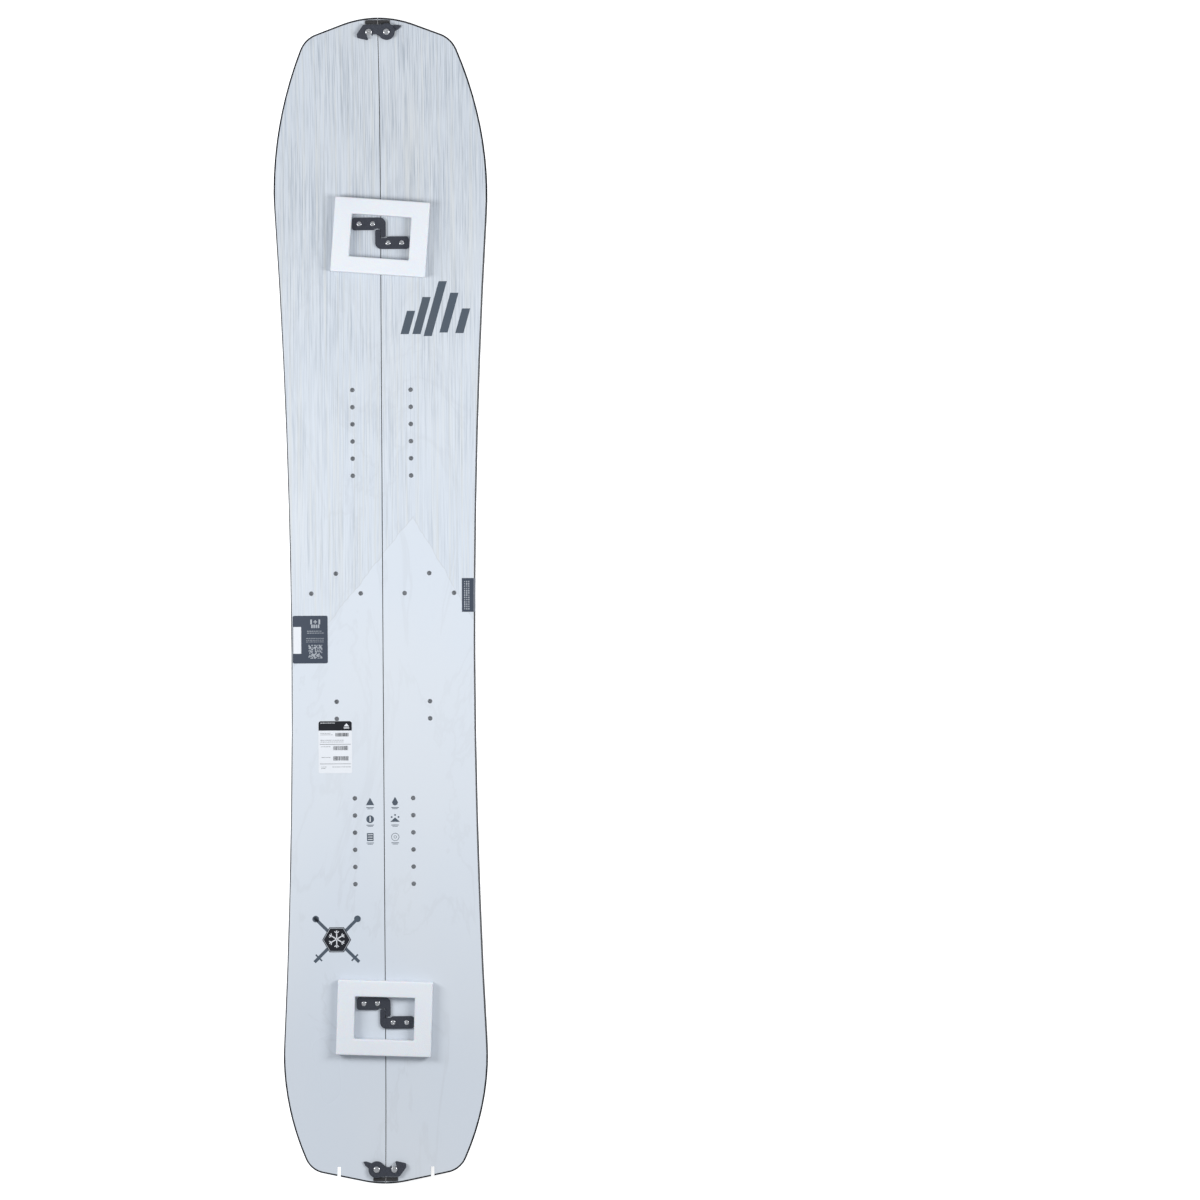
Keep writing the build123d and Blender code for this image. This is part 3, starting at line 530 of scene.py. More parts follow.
def laminate_material():
    """Glass fibre in resin: a fine crossed weave."""
    s = Shader("glass_laminate")
    across, along = (s.math("SINE", s.times(axis, WEAVE_PITCH)) for axis in (s.x, s.y))
    weave = s.times(across, along)
    tone = s.mix(s.remap(weave, WEAVE_TONE), RESIN_DARK, RESIN_LIGHT)
    s.set(Base_Color=tone, Roughness=0.34, Coat_Weight=0.3)
    return s.bump(weave, strength=0.2, distance=0.0001).material


RUBBER_GRAIN = Grain(900, 900, 900, detail=2.0)


def rubber_material():
    s = Shader("ribbed_rubber")
    grain = s.grain(RUBBER_GRAIN)
    s.set(Base_Color=s.mix(grain, RUBBER_DARK, RUBBER_LIGHT), Roughness=0.62)
    return s.bump(grain, strength=0.3, distance=0.0001).material


FOAM_CELLS = 620.0
FOAM_SOIL_GRAIN = Grain(20, 20, 20, detail=4.0)
FOAM_SOIL_TONE = Span(0.35, 0.75, 0.0, 0.5)
FOAM_CELL_TONE = Span(0.0, 0.5, 0.16, 0.0)


def foam_material():
    """Closed-cell packing foam: small cells, slightly soiled, faintly cool."""
    s = Shader("packing_foam")
    cells = s.cells(FOAM_CELLS)
    tone = s.mix(s.remap(s.grain(FOAM_SOIL_GRAIN), FOAM_SOIL_TONE), FOAM_WHITE, FOAM_SOIL)
    tone = s.mix(s.remap(cells, FOAM_CELL_TONE), tone, FOAM_CELL)
    s.set(Base_Color=tone, Roughness=0.85, Specular_IOR_Level=0.2)
    s.set(Subsurface_Weight=0.15, Subsurface_Scale=0.002)
    return s.bump(cells, strength=0.35, distance=0.0004).material


PAPER_FIBRE = Grain(1100, 700, 900)
PAPER_CLOUDS = Grain(35, 35, 35)
PAPER_CLOUD_TONE = Span(0.3, 0.7)
PAPER_FIBRE_TONE = Span(0.50, 0.75)
PAPER_FIBRE_SHADE = 0.82


def sheet_material(name, colour, shade, roughness, fibre=0.3, shine=0.5):
    """Printed paper, film or card, with a little fibre and tone."""
    s = Shader(name)
    grain = s.grain(PAPER_FIBRE)
    tone = s.mix(s.remap(s.grain(PAPER_CLOUDS), PAPER_CLOUD_TONE), colour, shade)
    fibres = s.times(s.remap(grain, PAPER_FIBRE_TONE), fibre)
    tone = s.mix(fibres, tone, darker(colour, PAPER_FIBRE_SHADE))
    s.set(Base_Color=tone, Roughness=roughness, Specular_IOR_Level=shine)
    return s.bump(grain, strength=0.1, distance=0.00005).material


TOPSHEET = topsheet_material()
BASE_WHITE = polyethylene("base_pale", PALE_BASE, PALE_BASE_SHADE)
BASE_BLACK = polyethylene("base_black_print", BLACK_BASE, BLACK_BASE_SHADE, ridge_print)
INLAY_DARK = polyethylene("inlay_dark", BLACK_BASE, BLACK_BASE_SHADE, nose_patch)
INLAY_PALE = polyethylene("inlay_pale", PALE_BASE, PALE_BASE_SHADE, nose_patch)
EDGE_STEEL = steel_material("edge_steel", EDGE_GREY, EDGE_GLOSS, EDGE_SCRATCHES)
INSERT_STEEL = steel_material("insert_steel", INSERT_GREY, INSERT_GLOSS, INSERT_SCRATCHES)
ABS_BLACK = abs_material()
ANODISED = anodised_material()
STAINLESS = stainless_material()
WOOD = wood_material()
LAMINATE = laminate_material()
RUBBER = rubber_material()
FOAM = foam_material()
PAPER_WHITE = sheet_material("label_paper", PAPER, PAPER_SHADE, roughness=0.42)
LABEL_SLATE = sheet_material("label_film", LABEL_FILM, LABEL_FILM_SHADE, roughness=0.36, shine=0.25)
KRAFT_CARD = sheet_material("kraft_card", KRAFT, KRAFT_SHADE, roughness=0.72, fibre=0.6)
TAG_DARK = sheet_material("tag_print", TAG_BROWN, TAG_BROWN_SHADE, roughness=0.55, shine=0.2)
INK_SLATE = sheet_material("deck_ink", SLATE, SLATE_SHADE, roughness=0.36)
INK_DARK = sheet_material("label_ink", INK, INK_SHADE, roughness=0.60, shine=0.12)
INK_PALE = sheet_material("pale_ink", LABEL_GREY, LABEL_GREY_SHADE, roughness=0.40)

BY_LAYER = {
    "topsheet": TOPSHEET,
    "upper_laminate": LAMINATE,
    "lower_laminate": LAMINATE,
    "core": WOOD,
    "outer_sidewall": ABS_BLACK,
    "inner_sidewall": ABS_BLACK,
    "nose_spacer": ABS_BLACK,
    "tail_spacer": ABS_BLACK,
    "outer_edge": EDGE_STEEL,
    "inner_edge": EDGE_STEEL,
    "puck_inserts": INSERT_STEEL,
    "tour_inserts": INSERT_STEEL,
    "hardware_nuts": INSERT_STEEL,
    "hook_screws": STAINLESS,
    "hook": ANODISED,
    "lever": ANODISED,
    "tension_tab": ANODISED,
    "pivot_post": STAINLESS,
    "catch_post": STAINLESS,
    "protector": RUBBER,
    "foam_guard": FOAM,
    "left_base": BASE_WHITE,
    "right_base": BASE_BLACK,
    "left_base_inlays": INLAY_DARK,
    "right_base_inlays": INLAY_PALE,
    "price_label": PAPER_WHITE,
    "care_label": LABEL_SLATE,
    "edge_label": LABEL_SLATE,
    "hang_tag": KRAFT_CARD,
}


def paint_cad():
    """Give every CAD node the material of its layer, by the end of its name."""
    for name, node in NODES.items():
        ending = max((key for key in BY_LAYER if name.endswith(key)), key=len)
        for material_slot in node.material_slots:
            material_slot.material = BY_LAYER[ending]


# ======================================================================================
# Surfaces to drape on
# ======================================================================================
PROBE_HEIGHT = 0.2
# A ray that slips through a hole or a joint is sent again a little to the side.
PROBE_NUDGES = (0.0, 0.0007, -0.0007, 0.002, -0.002, 0.005, -0.005)


def tree_of(names):
    """One search tree over several CAD nodes."""
    points, faces = [], []
    for name in names:
        mesh = NODES[name].data
        start = len(points)
        points.extend(v.co.copy() for v in mesh.vertices)
        faces.extend([start + i for i in face.vertices] for face in mesh.polygons)
    return BVHTree.FromPolygons(points, faces)


def surface_height(tree, x, y, upwards):
    """Height of the first surface met from above (upwards) or from below."""
    start = Vector((x, y, PROBE_HEIGHT if upwards else -PROBE_HEIGHT))
    way = Vector((0, 0, -1 if upwards else 1))
    for nudge in PROBE_NUDGES:
        hit = tree.ray_cast(start + Vector((nudge, nudge, 0)), way)[0]
        if hit is not None:
            return hit.z
    raise ValueError(f"nothing to drape on at {x:.4f}, {y:.4f}")


DECK_NODES = ["left_topsheet", "right_topsheet"]
BASE_NODES = ["left_base", "left_base_inlays", "right_base", "right_base_inlays"]
DECK = tree_of(DECK_NODES)
LABELS = tree_of(DECK_NODES + ["price_label", "care_label", "edge_label"])
BELOW = tree_of(BASE_NODES + ["hang_tag", "edge_label"])


# ======================================================================================
# Flat shapes, as rings of points in millimetres
# ======================================================================================
CIRCLE_STEPS = 32
SMALL_CIRCLE_STEPS = 12
BARCODE_BARS = (0.35, 0.5, 0.8)
BARCODE_GAPS = (0.35, 0.5, 0.7)
BARCODE_MARGIN = 1.0
DASH_LENGTHS = (1.2, 3.6)
DASH_GAP = 0.6
LINE_FILL = (0.55, 1.0)
CELL_SHARE = 0.52
CELL_FILL = 0.96


class TextBlock(NamedTuple):
    """Printed lines: place of the first line's middle, right of and below an anchor, and their size."""

    right: float
    below: float
    width: float
    rows: int = 1
    pitch: float = 1.0
    height: float = 0.5


def spun(angle):
    """Cosine and sine of an angle in degrees."""
    return math.cos(math.radians(angle)), math.sin(math.radians(angle))


def bar(x, y, width, height, turn=0.0, lean=0.0):
    """A rectangle about its centre; lean shifts its top sideways."""
    w, h = width / 2, height / 2
    c, s = spun(turn)
    ring = []
    for u, v in ((-w, -h), (w, -h), (w, h), (-w, h)):
        u += lean * (v / height)
        ring.append((x + u * c - v * s, y + u * s + v * c))
    return ring


def moved(outline, x, y):
    return [(x + u, y + v) for u, v in outline]


def regular(x, y, radius, sides, turn=0.0):
    angles = [math.radians(turn) + 2 * math.pi * k / sides for k in range(sides)]
    return [(x + radius * math.cos(a), y + radius * math.sin(a)) for a in angles]


def disc(x, y, radius):
    return regular(x, y, radius, CIRCLE_STEPS)


def band(x, y, radius, width, sides=CIRCLE_STEPS):
    """An open ring as short four-sided pieces."""
    outer = regular(x, y, radius, sides)
    inside = regular(x, y, radius - width, sides)
    pairs = [(k, (k + 1) % sides) for k in range(sides)]
    return [[outer[k], outer[j], inside[j], inside[k]] for k, j in pairs]


def barcode(x, y, width, height):
    """Upright bars of uneven width."""
    rings = []
    u = -width / 2
    while u < width / 2 - BARCODE_MARGIN:
        thick = random.choice(BARCODE_BARS)
        rings.append(bar(x + u + thick / 2, y, thick, height))
        u += thick + random.choice(BARCODE_GAPS)
    return rings


def text_lines(blocks, x, y):
    """Short dashes that stand in for printed lines and spell nothing."""
    rings = []
    for block in blocks:
        for row in range(block.rows):
            u = -block.width / 2
            end = block.width / 2 * random.uniform(*LINE_FILL)
            level = y - block.below - row * block.pitch
            while u < end:
                dash = random.uniform(*DASH_LENGTHS)
                rings.append(bar(x + block.right + u + dash / 2, level, dash, block.height))
                u += dash + DASH_GAP
    return rings


def cell_block(x, y, size, cells):
    """A square block of random cells."""
    step = size / cells
    rings = []
    for row in range(cells):
        for column in range(cells):
            if random.random() < CELL_SHARE:
                u = x - size / 2 + (column + 0.5) * step
                v = y - size / 2 + (row + 0.5) * step
                rings.append(bar(u, v, step * CELL_FILL, step * CELL_FILL))
    return rings


# ======================================================================================
# Decals
# ======================================================================================
DECAL_LIFT = 0.03
DECAL_DEPTH = 0.05


def plate(mesh, ring, tree, upwards, lift, depth):
    """Add one thin closed plate that follows the surface at every corner of its ring."""
    sign = 1 if upwards else -1
    near, far = [], []
    for x, y in ring:
        z = surface_height(tree, x * MM, y * MM, upwards)
        near.append(mesh.verts.new((x * MM, y * MM, z + sign * lift * MM)))
        far.append(mesh.verts.new((x * MM, y * MM, z + sign * (lift + depth) * MM)))
    mesh.faces.new(far)
    mesh.faces.new(list(reversed(near)))
    for k in range(len(ring)):
        j = (k + 1) % len(ring)
        mesh.faces.new((near[k], near[j], far[j], far[k]))


def decal(
    name, rings, body, material, tree=DECK, upwards=True, layer=0, lift=DECAL_LIFT, depth=DECAL_DEPTH
):
    """Thin closed plates draped on a surface, one for each ring. Higher layers lie over lower ones."""
    mesh = bmesh.new()
    start = lift + layer * (depth + lift)
    for ring in rings:
        plate(mesh, ring, tree, upwards, start, depth)
    bmesh.ops.recalc_face_normals(mesh, faces=mesh.faces)
    data = bpy.data.meshes.new(name)
    mesh.to_mesh(data)
    mesh.free()
    data.materials.append(material)
    piece = bpy.data.objects.new(name, data)
    bpy.context.scene.collection.objects.link(piece)
    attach(piece, body)


# ---- The mark ahead of the front inserts: leaning bars of stepped length, as (x, y, length) ----
MARK_X, MARK_Y = 79.0, 425.0
MARK_BARS = [
    (-40.0, -18.0, 34.0),
    (-20.0, -8.0, 54.0),
    (0.0, 2.0, 80.0),
    (20.0, -4.0, 58.0),
    (40.0, -16.0, 36.0),
]
MARK_BAR_WIDTH = 12.0
MARK_LEAN = 0.28


def deck_mark():
    rings = [
        bar(MARK_X + x, MARK_Y + y, MARK_BAR_WIDTH, length, lean=MARK_LEAN * length)
        for x, y, length in MARK_BARS
    ]
    decal("deck_mark", rings, "right_half", INK_SLATE)


# ---- The badge near the tail: a hexagon with a snowflake over two crossed poles ----
BADGE_X, BADGE_Y = -70.3, -492.0
BADGE_SIDES = 6
BADGE_RADIUS = 21.0
BADGE_RIM_INSET, BADGE_RIM_WIDTH = 1.2, 0.9
POLE_TURN = 45.0
POLE_WIDTH, POLE_LENGTH = 4.6, 92.0
GRIP_PLACE, GRIP_RADIUS = 43.0, 5.0
BASKET_PLACE, BASKET_WIDTH, BASKET_HEIGHT = 37.0, 13.0, 2.2
FLAKE_RISE = 1.0
FLAKE_WIDTH, FLAKE_LENGTH = 1.5, 25.0
FORK_PLACE, FORK_TURN, FORK_LENGTH, FORK_WIDTH = 8.5, 50.0, 4.2, 1.1


def crossed_poles(x, y):
    rings = []
    for side in (-1, 1):
        turn = side * POLE_TURN
        c, s = spun(turn)
        rings.append(bar(x, y, POLE_WIDTH, POLE_LENGTH, turn))
        rings.append(regular(x - s * GRIP_PLACE, y + c * GRIP_PLACE, GRIP_RADIUS, SMALL_CIRCLE_STEPS))
        basket = (x + s * BASKET_PLACE, y - c * BASKET_PLACE)
        rings.append(bar(*basket, BASKET_WIDTH, BASKET_HEIGHT, turn))
    return rings


def snowflake(x, y):
    """Three bars through the middle, and two forks near the end of each of the six arms."""
    rings = [bar(x, y, FLAKE_WIDTH, FLAKE_LENGTH, turn) for turn in (0.0, 60.0, 120.0)]
    for turn in range(30, 390, 60):
        c, s = spun(turn)
        for fork in (-1, 1):
            way = turn + fork * FORK_TURN
            fork_c, fork_s = spun(way)
            u = x + FORK_PLACE * c + FORK_LENGTH / 2 * fork_c
            v = y + FORK_PLACE * s + FORK_LENGTH / 2 * fork_s
            rings.append(bar(u, v, FORK_LENGTH, FORK_WIDTH, way))
    return rings


def badge():
    x, y = BADGE_X, BADGE_Y
    decal("badge_poles", crossed_poles(x, y), "left_half", INK_SLATE)
    hexagon = [regular(x, y, BADGE_RADIUS, BADGE_SIDES)]
    decal("badge_plate", hexagon, "left_half", INK_DARK, layer=1)
    flake = snowflake(x, y + FLAKE_RISE)
    decal("badge_flake", flake, "left_half", PAPER_WHITE, layer=2)
    rim = band(x, y, BADGE_RADIUS - BADGE_RIM_INSET, BADGE_RIM_WIDTH, BADGE_SIDES)
    decal("badge_rim", rim, "left_half", INK_PALE, layer=2)


# ---- Six small care symbols between the rear inserts, each over two short lines ----
ICON_ROWS = (-291.0, -316.5, -342.5)
ICON_X = {"left_half": -20.4, "right_half": 16.0}
ICON_CAPTION = ((8.6, 11.0, 1.0), (10.4, 8.0, 0.8))
TENT = ((-6, -5), (0, 6), (6, -5))
DROP = ((0, 7), (-4.4, -1), (-3.0, -4.6), (0, -5.8), (3.0, -4.6), (4.4, -1))
PEAK = ((-7, -4), (0, 2.5), (7, -4))
SNOW_OVER_PEAK = ((-5, 3), (0, 6), (5, 3))
SNOW_RADIUS = 1.3
BUTTON_RADIUS = 5.6
PANEL_WIDTH, PANEL_HEIGHT = 9.5, 11.5
RINGS = ((5.8, 0.7), (2.2, 0.6))
SLIT_WIDTH, SLIT_HEIGHT = 1.5, 7.6
PANEL_LINES = (-3.4, 0.0, 3.4)
PANEL_LINE_WIDTH, PANEL_LINE_HEIGHT = 7.0, 1.0


def left_symbols(x):
    """A tent, a round button and a panel, from the nose side."""
    high, middle, low = ICON_ROWS
    return [moved(TENT, x, high), disc(x, middle, BUTTON_RADIUS), bar(x, low, PANEL_WIDTH, PANEL_HEIGHT)]


def right_symbols(x):
    """A drop, a peak with snow over it, and two rings, from the nose side."""
    high, middle, low = ICON_ROWS
    rings = [moved(DROP, x, high), moved(PEAK, x, middle)]
    rings += [disc(x + u, middle + v, SNOW_RADIUS) for u, v in SNOW_OVER_PEAK]
    for radius, width in RINGS:
        rings += band(x, low, radius, width)
    return rings


def icons():
    for body, symbols in (("left_half", left_symbols), ("right_half", right_symbols)):
        x = ICON_X[body]
        rings = symbols(x)
        for y in ICON_ROWS:
            rings += [bar(x, y - below, width, height) for below, width, height in ICON_CAPTION]
        decal(body + "_icons", rings, body, INK_SLATE)
    x, (_, middle, low) = ICON_X["left_half"], ICON_ROWS
    slit = [bar(x, middle, SLIT_WIDTH, SLIT_HEIGHT)]
    decal("icon_slit", slit, "left_half", PAPER_WHITE, layer=1)
    lines = [bar(x, low + v, PANEL_LINE_WIDTH, PANEL_LINE_HEIGHT) for v in PANEL_LINES]
    decal("icon_waves", lines, "left_half", PAPER_WHITE, layer=1)


# ======================================================================================
# Prints on the labels. Places are right of a label's left edge and below its nose-side edge.
# ======================================================================================
def label_box(node):
    low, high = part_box(node)
    return low.x / MM, low.y / MM, high.x / MM, high.y / MM


HEADER_HEIGHT = 14.0
HEADER_MARGIN = 0.3
HEADER_CORNER = 2.2
HEADER_TRIANGLE = ((37.0, -8.0), (41.0, -3.5), (45.0, -8.0))
HEADER_BAR = (41.0, 10.2, 8.0, 1.4)
HEADER_TEXT = [TextBlock(14, 3.0, 22, height=0.8)]
PRICE_BARCODES = ((35.0, 20.0, 20.0, 5.2), (33.0, 39.5, 23.0, 6.2), (33.0, 54.5, 23.0, 6.2))
PRICE_TEXT = [
    TextBlock(12, 18, 18, rows=2, pitch=2.2),
    TextBlock(20, 28, 34, rows=2, pitch=2.6),
    TextBlock(11, 37.5, 15),
    TextBlock(11, 53, 13),
    TextBlock(8, 67, 8, rows=2, pitch=2.2),
    TextBlock(33, 67, 26),
]
PRICE_RULES = (34.0, 62.5)
PRICE_RULE_MARGIN = 4.0
PRICE_RULE_WIDTH = 0.5


def price_header(x0, x1, y1):
    """The dark header, with its two upper corners cut like the label's."""
    left, right = x0 + HEADER_MARGIN, x1 - HEADER_MARGIN
    foot, top = y1 - HEADER_HEIGHT, y1 - HEADER_MARGIN
    corner = HEADER_CORNER
    sides = [(left, foot), (right, foot), (right, top - corner)]
    return sides + [(right - corner, top), (left + corner, top), (left, top - corner)]


def price_label_print():
    x0, y0, x1, y1 = label_box("price_label")
    decal("price_header", [price_header(x0, x1, y1)], "left_half", INK_DARK, LABELS)
    right, below, width, height = HEADER_BAR
    mark = [moved(HEADER_TRIANGLE, x0, y1), bar(x0 + right, y1 - below, width, height)]
    mark += text_lines(HEADER_TEXT, x0, y1)
    decal("price_header_mark", mark, "left_half", PAPER_WHITE, LABELS, layer=1)
    lines = []
    for right, below, width, height in PRICE_BARCODES:
        lines += barcode(x0 + right, y1 - below, width, height)
    lines += text_lines(PRICE_TEXT, x0, y1)
    rule = x1 - x0 - PRICE_RULE_MARGIN
    lines += [bar((x0 + x1) / 2, y1 - below, rule, PRICE_RULE_WIDTH) for below in PRICE_RULES]
    decal("price_print", lines, "left_half", INK_DARK, LABELS)


CARE_WINDOW = (6.6, 35.75, 11.6, 39.0)
CARE_MIDDLE = 33.0
CARE_FIGURES = (
    (-6.0, 9.0, 2.4, 7.0),
    (6.0, 9.0, 2.4, 7.0),
    (0.0, 9.0, 5.0, 1.6),
    (0.0, 9.0, 1.6, 5.0),
    (-4.8, 15.5, 2.2, 5.0),
    (-1.6, 15.5, 2.2, 5.0),
    (1.6, 15.5, 2.2, 5.0),
    (4.8, 15.5, 2.2, 5.0),
)
CARE_TEXT = [
    TextBlock(0, 22.5, 24, rows=2, pitch=2.8, height=0.8),
    TextBlock(0, 33, 27, rows=3, pitch=2.6, height=0.6),
]
CARE_BLOCK_BELOW, CARE_BLOCK_SIZE, CARE_BLOCK_CELLS = 52.5, 20.0, 15


def care_label_print():
    x0, y0, x1, y1 = label_box("care_label")
    right, below, width, height = CARE_WINDOW
    window = [bar(x0 + right, y1 - below, width, height)]
    decal("care_window", window, "left_half", PAPER_WHITE, LABELS)
    middle = x0 + CARE_MIDDLE
    figures = [bar(middle + right, y1 - below, *size) for right, below, *size in CARE_FIGURES]
    figures += text_lines(CARE_TEXT, middle, y1)
    figures += cell_block(middle, y1 - CARE_BLOCK_BELOW, CARE_BLOCK_SIZE, CARE_BLOCK_CELLS)
    decal("care_print", figures, "left_half", INK_PALE, LABELS)


EDGE_PRINT_X = 119.5
EDGE_PRINT_ROWS = 3
EDGE_PRINT_PITCH = 3.0
EDGE_PRINT_WORDS = 13
EDGE_PRINT_MARGIN = 4.5
EDGE_PRINT_STEP = 3.3
EDGE_PRINT_WIDTH = 1.5
EDGE_PRINT_LENGTHS = (1.2, 2.8)
EDGE_BASE_MIDDLE = 22.0
EDGE_BASE_TEXT = [TextBlock(0, 12, 34, rows=9, pitch=3.0, height=0.8)]
EDGE_BASE_BARS = ((6.0, 24.0, 1.6), (44.7, 16.0, 1.6))


def edge_label_print():
    """The label folds round the edge, so it is printed on the deck and under the base."""
    x0, y0, x1, y1 = label_box("edge_label")
    words = []
    for row in range(EDGE_PRINT_ROWS):
        for k in range(EDGE_PRINT_WORDS):
            x = EDGE_PRINT_X + row * EDGE_PRINT_PITCH
            y = y0 + EDGE_PRINT_MARGIN + k * EDGE_PRINT_STEP
            words.append(bar(x, y, EDGE_PRINT_WIDTH, random.uniform(*EDGE_PRINT_LENGTHS)))
    decal("edge_deck_print", words, "right_half", INK_PALE, LABELS)
    middle = x0 + EDGE_BASE_MIDDLE
    lines = text_lines(EDGE_BASE_TEXT, middle, y1)
    lines += [bar(middle, y1 - below, width, height) for below, width, height in EDGE_BASE_BARS]
    decal("edge_base_print", lines, "right_half", INK_PALE, BELOW, False)


# ---- Prints on the hang tag, under the base. Places are right of its middle and below its nose end ----
TAG_MARGIN = 0.5
TAG_DARK_NOSE, TAG_DARK_TAIL = 78.0, 48.0
TAG_FOLD_ACROSS, TAG_FOLD_ALONG = 53.0, 80.0
TAG_FLAP_WIDTH, TAG_FLAP_LENGTH = 26.0, 28.0
TAG_STEP = 10.0
TAG_LIFT = 0.02
TAG_INK = 0.02
TAG_TEXT = [
    TextBlock(0, 92, 46, height=3.0),
    TextBlock(0, 100, 96, rows=2, pitch=4.0, height=1.2),
    TextBlock(-28, 118, 44, rows=3, pitch=4.5, height=1.2),
    TextBlock(-28, 166, 44, rows=4, pitch=4.2, height=1.0),
    TextBlock(28, 118, 44, rows=3, pitch=4.5, height=1.2),
    TextBlock(28, 166, 44, rows=4, pitch=4.2, height=1.0),
    TextBlock(0, 246, 104, rows=9, pitch=5.4, height=1.0),
]
TAG_PALE_TEXT = [
    TextBlock(-32.5, 323, 44, rows=4, pitch=4.5, height=1.1),
    TextBlock(29.5, 323, 40, rows=4, pitch=4.5, height=1.1),
    TextBlock(-20.5, 30, 50, height=2.4),
    TextBlock(-20.5, 44, 60, rows=4, pitch=4.5, height=1.1),
]
TAG_DRAWING_BELOW, TAG_DRAWING_RADIUS, TAG_DRAWING_STEPS = 148.0, 13.0, 24
TAG_DRAWING_WIDTH, TAG_DRAWING_LINE = 96.0, 0.8
TAG_SYMBOL_ROWS, TAG_SYMBOL_COLUMNS = 2, 6
TAG_SYMBOL_X, TAG_SYMBOL_BELOW = -48.5, 200.0
TAG_SYMBOL_PITCH, TAG_SYMBOL_ROW_PITCH = 19.5, 20.0
TAG_SYMBOL_RADIUS = 4.4
TAG_CAPTION_BELOW, TAG_CAPTION_WIDTH, TAG_CAPTION_HEIGHT = 8.0, 11.0, 1.0
TAG_SLOT_BELOW, TAG_SLOT_WIDTH, TAG_SLOT_HEIGHT = 339.0, 7.0, 12.0
TAG_EYELET_X, TAG_EYELET_BELOW = 12.0, 353.0
TAG_EYELET_RADIUS, TAG_EYELET_WIDTH, TAG_EYELET_STEPS = 3.4, 0.9, 16


def swept_rings(left, right, y0, y1):
    """A shape between two slanted sides as short strips along the board, so that it follows the curve."""
    count = max(1, round((y1 - y0) / TAG_STEP))
    edges = [y0 + (y1 - y0) * k / count for k in range(count + 1)]
    return [[(left(a), a), (right(a), a), (right(b), b), (left(b), b)] for a, b in zip(edges, edges[1:])]


def tag_decal(name, rings, material, layer=0):
    decal(name, rings, "left_half", material, BELOW, False, layer, TAG_LIFT, TAG_INK)


def tag_ends(x0, y0, x1, y1):
    """The two dark ends, cut off along the folded corner, and the flap's pale lower end."""
    flap_foot = y1 - TAG_DARK_NOSE
    flap_top = flap_foot + TAG_FLAP_LENGTH

    def outer(y):
        return x0 + TAG_MARGIN

    def inner(y):
        return x1 - TAG_MARGIN

    def fold(y):
        return inner(y) - TAG_FOLD_ACROSS * max(0.0, y - y1 + TAG_FOLD_ALONG) / TAG_FOLD_ALONG

    def flap(y):
        return fold(y) - TAG_FLAP_WIDTH * (flap_top - y) / TAG_FLAP_LENGTH

    dark = swept_rings(outer, inner, y0 + TAG_MARGIN, y0 + TAG_DARK_TAIL)
    dark += swept_rings(outer, fold, flap_foot, y1 - TAG_MARGIN)
    tag_decal("tag_dark_ends", dark, TAG_DARK)
    tag_decal("tag_fold", swept_rings(flap, fold, flap_foot, flap_top - TAG_MARGIN), KRAFT_CARD, 1)


def tag_symbols(middle, y1):
    """Rows of round symbols, each over a short line."""
    rings = []
    for row in range(TAG_SYMBOL_ROWS):
        for column in range(TAG_SYMBOL_COLUMNS):
            x = middle + TAG_SYMBOL_X + column * TAG_SYMBOL_PITCH
            y = y1 - TAG_SYMBOL_BELOW - row * TAG_SYMBOL_ROW_PITCH
            rings.append(regular(x, y, TAG_SYMBOL_RADIUS, SMALL_CIRCLE_STEPS))
            rings.append(bar(x, y - TAG_CAPTION_BELOW, TAG_CAPTION_WIDTH, TAG_CAPTION_HEIGHT))
    return rings


def hang_tag_print():
    x0, y0, x1, y1 = label_box("hang_tag")
    tag_ends(x0, y0, x1, y1)
    middle = (x0 + x1) / 2
    drawing = y1 - TAG_DRAWING_BELOW
    ink = text_lines(TAG_TEXT, middle, y1)
    ink += band(middle, drawing, TAG_DRAWING_RADIUS, TAG_DRAWING_LINE, TAG_DRAWING_STEPS)
    ink.append(bar(middle, drawing, TAG_DRAWING_WIDTH, TAG_DRAWING_LINE))
    ink += tag_symbols(middle, y1)
    tag_decal("tag_print", ink, INK_DARK)
    pale = text_lines(TAG_PALE_TEXT, middle, y1)
    pale.append(bar(middle, y1 - TAG_SLOT_BELOW, TAG_SLOT_WIDTH, TAG_SLOT_HEIGHT))
    eyelet = (middle + TAG_EYELET_X, y1 - TAG_EYELET_BELOW)
    pale += band(*eyelet, TAG_EYELET_RADIUS, TAG_EYELET_WIDTH, TAG_EYELET_STEPS)
    tag_decal("tag_pale_print", pale, INK_PALE, 1)


# ======================================================================================
# Foam guards
# ======================================================================================
FOAM_GUARDS = ("front_foam_guard", "rear_foam_guard")
FOAM_WELD = 0.00001
FOAM_FLAT_ANGLE = 0.01
FOAM_SHARP_ANGLE = 1.0
FOAM_EDGE_ROUND = 1.6
FOAM_ROUND_STEPS = 4
FOAM_CELL_MM = 6.0
FOAM_MOST_CUTS = 4
FOAM_DENT = 0.10
FOAM_DENT_SWING = 0.05
FOAM_WAVES = ((70.0, 41.0), (-33.0, 97.0))


def round_edges(work):
    """Merge the CAD's triangles into flat faces and round every sharp edge."""
    bmesh.ops.remove_doubles(work, verts=work.verts, dist=FOAM_WELD)
    bmesh.ops.dissolve_limit(work, angle_limit=FOAM_FLAT_ANGLE, verts=work.verts, edges=work.edges)
    sharp = [e for e in work.edges if e.calc_face_angle(0.0) > FOAM_SHARP_ANGLE]
    bmesh.ops.bevel(
        work, geom=sharp, offset=FOAM_EDGE_ROUND * MM, segments=FOAM_ROUND_STEPS, profile=0.5, affect="EDGES"
    )
    bmesh.ops.triangulate(work, faces=work.faces)


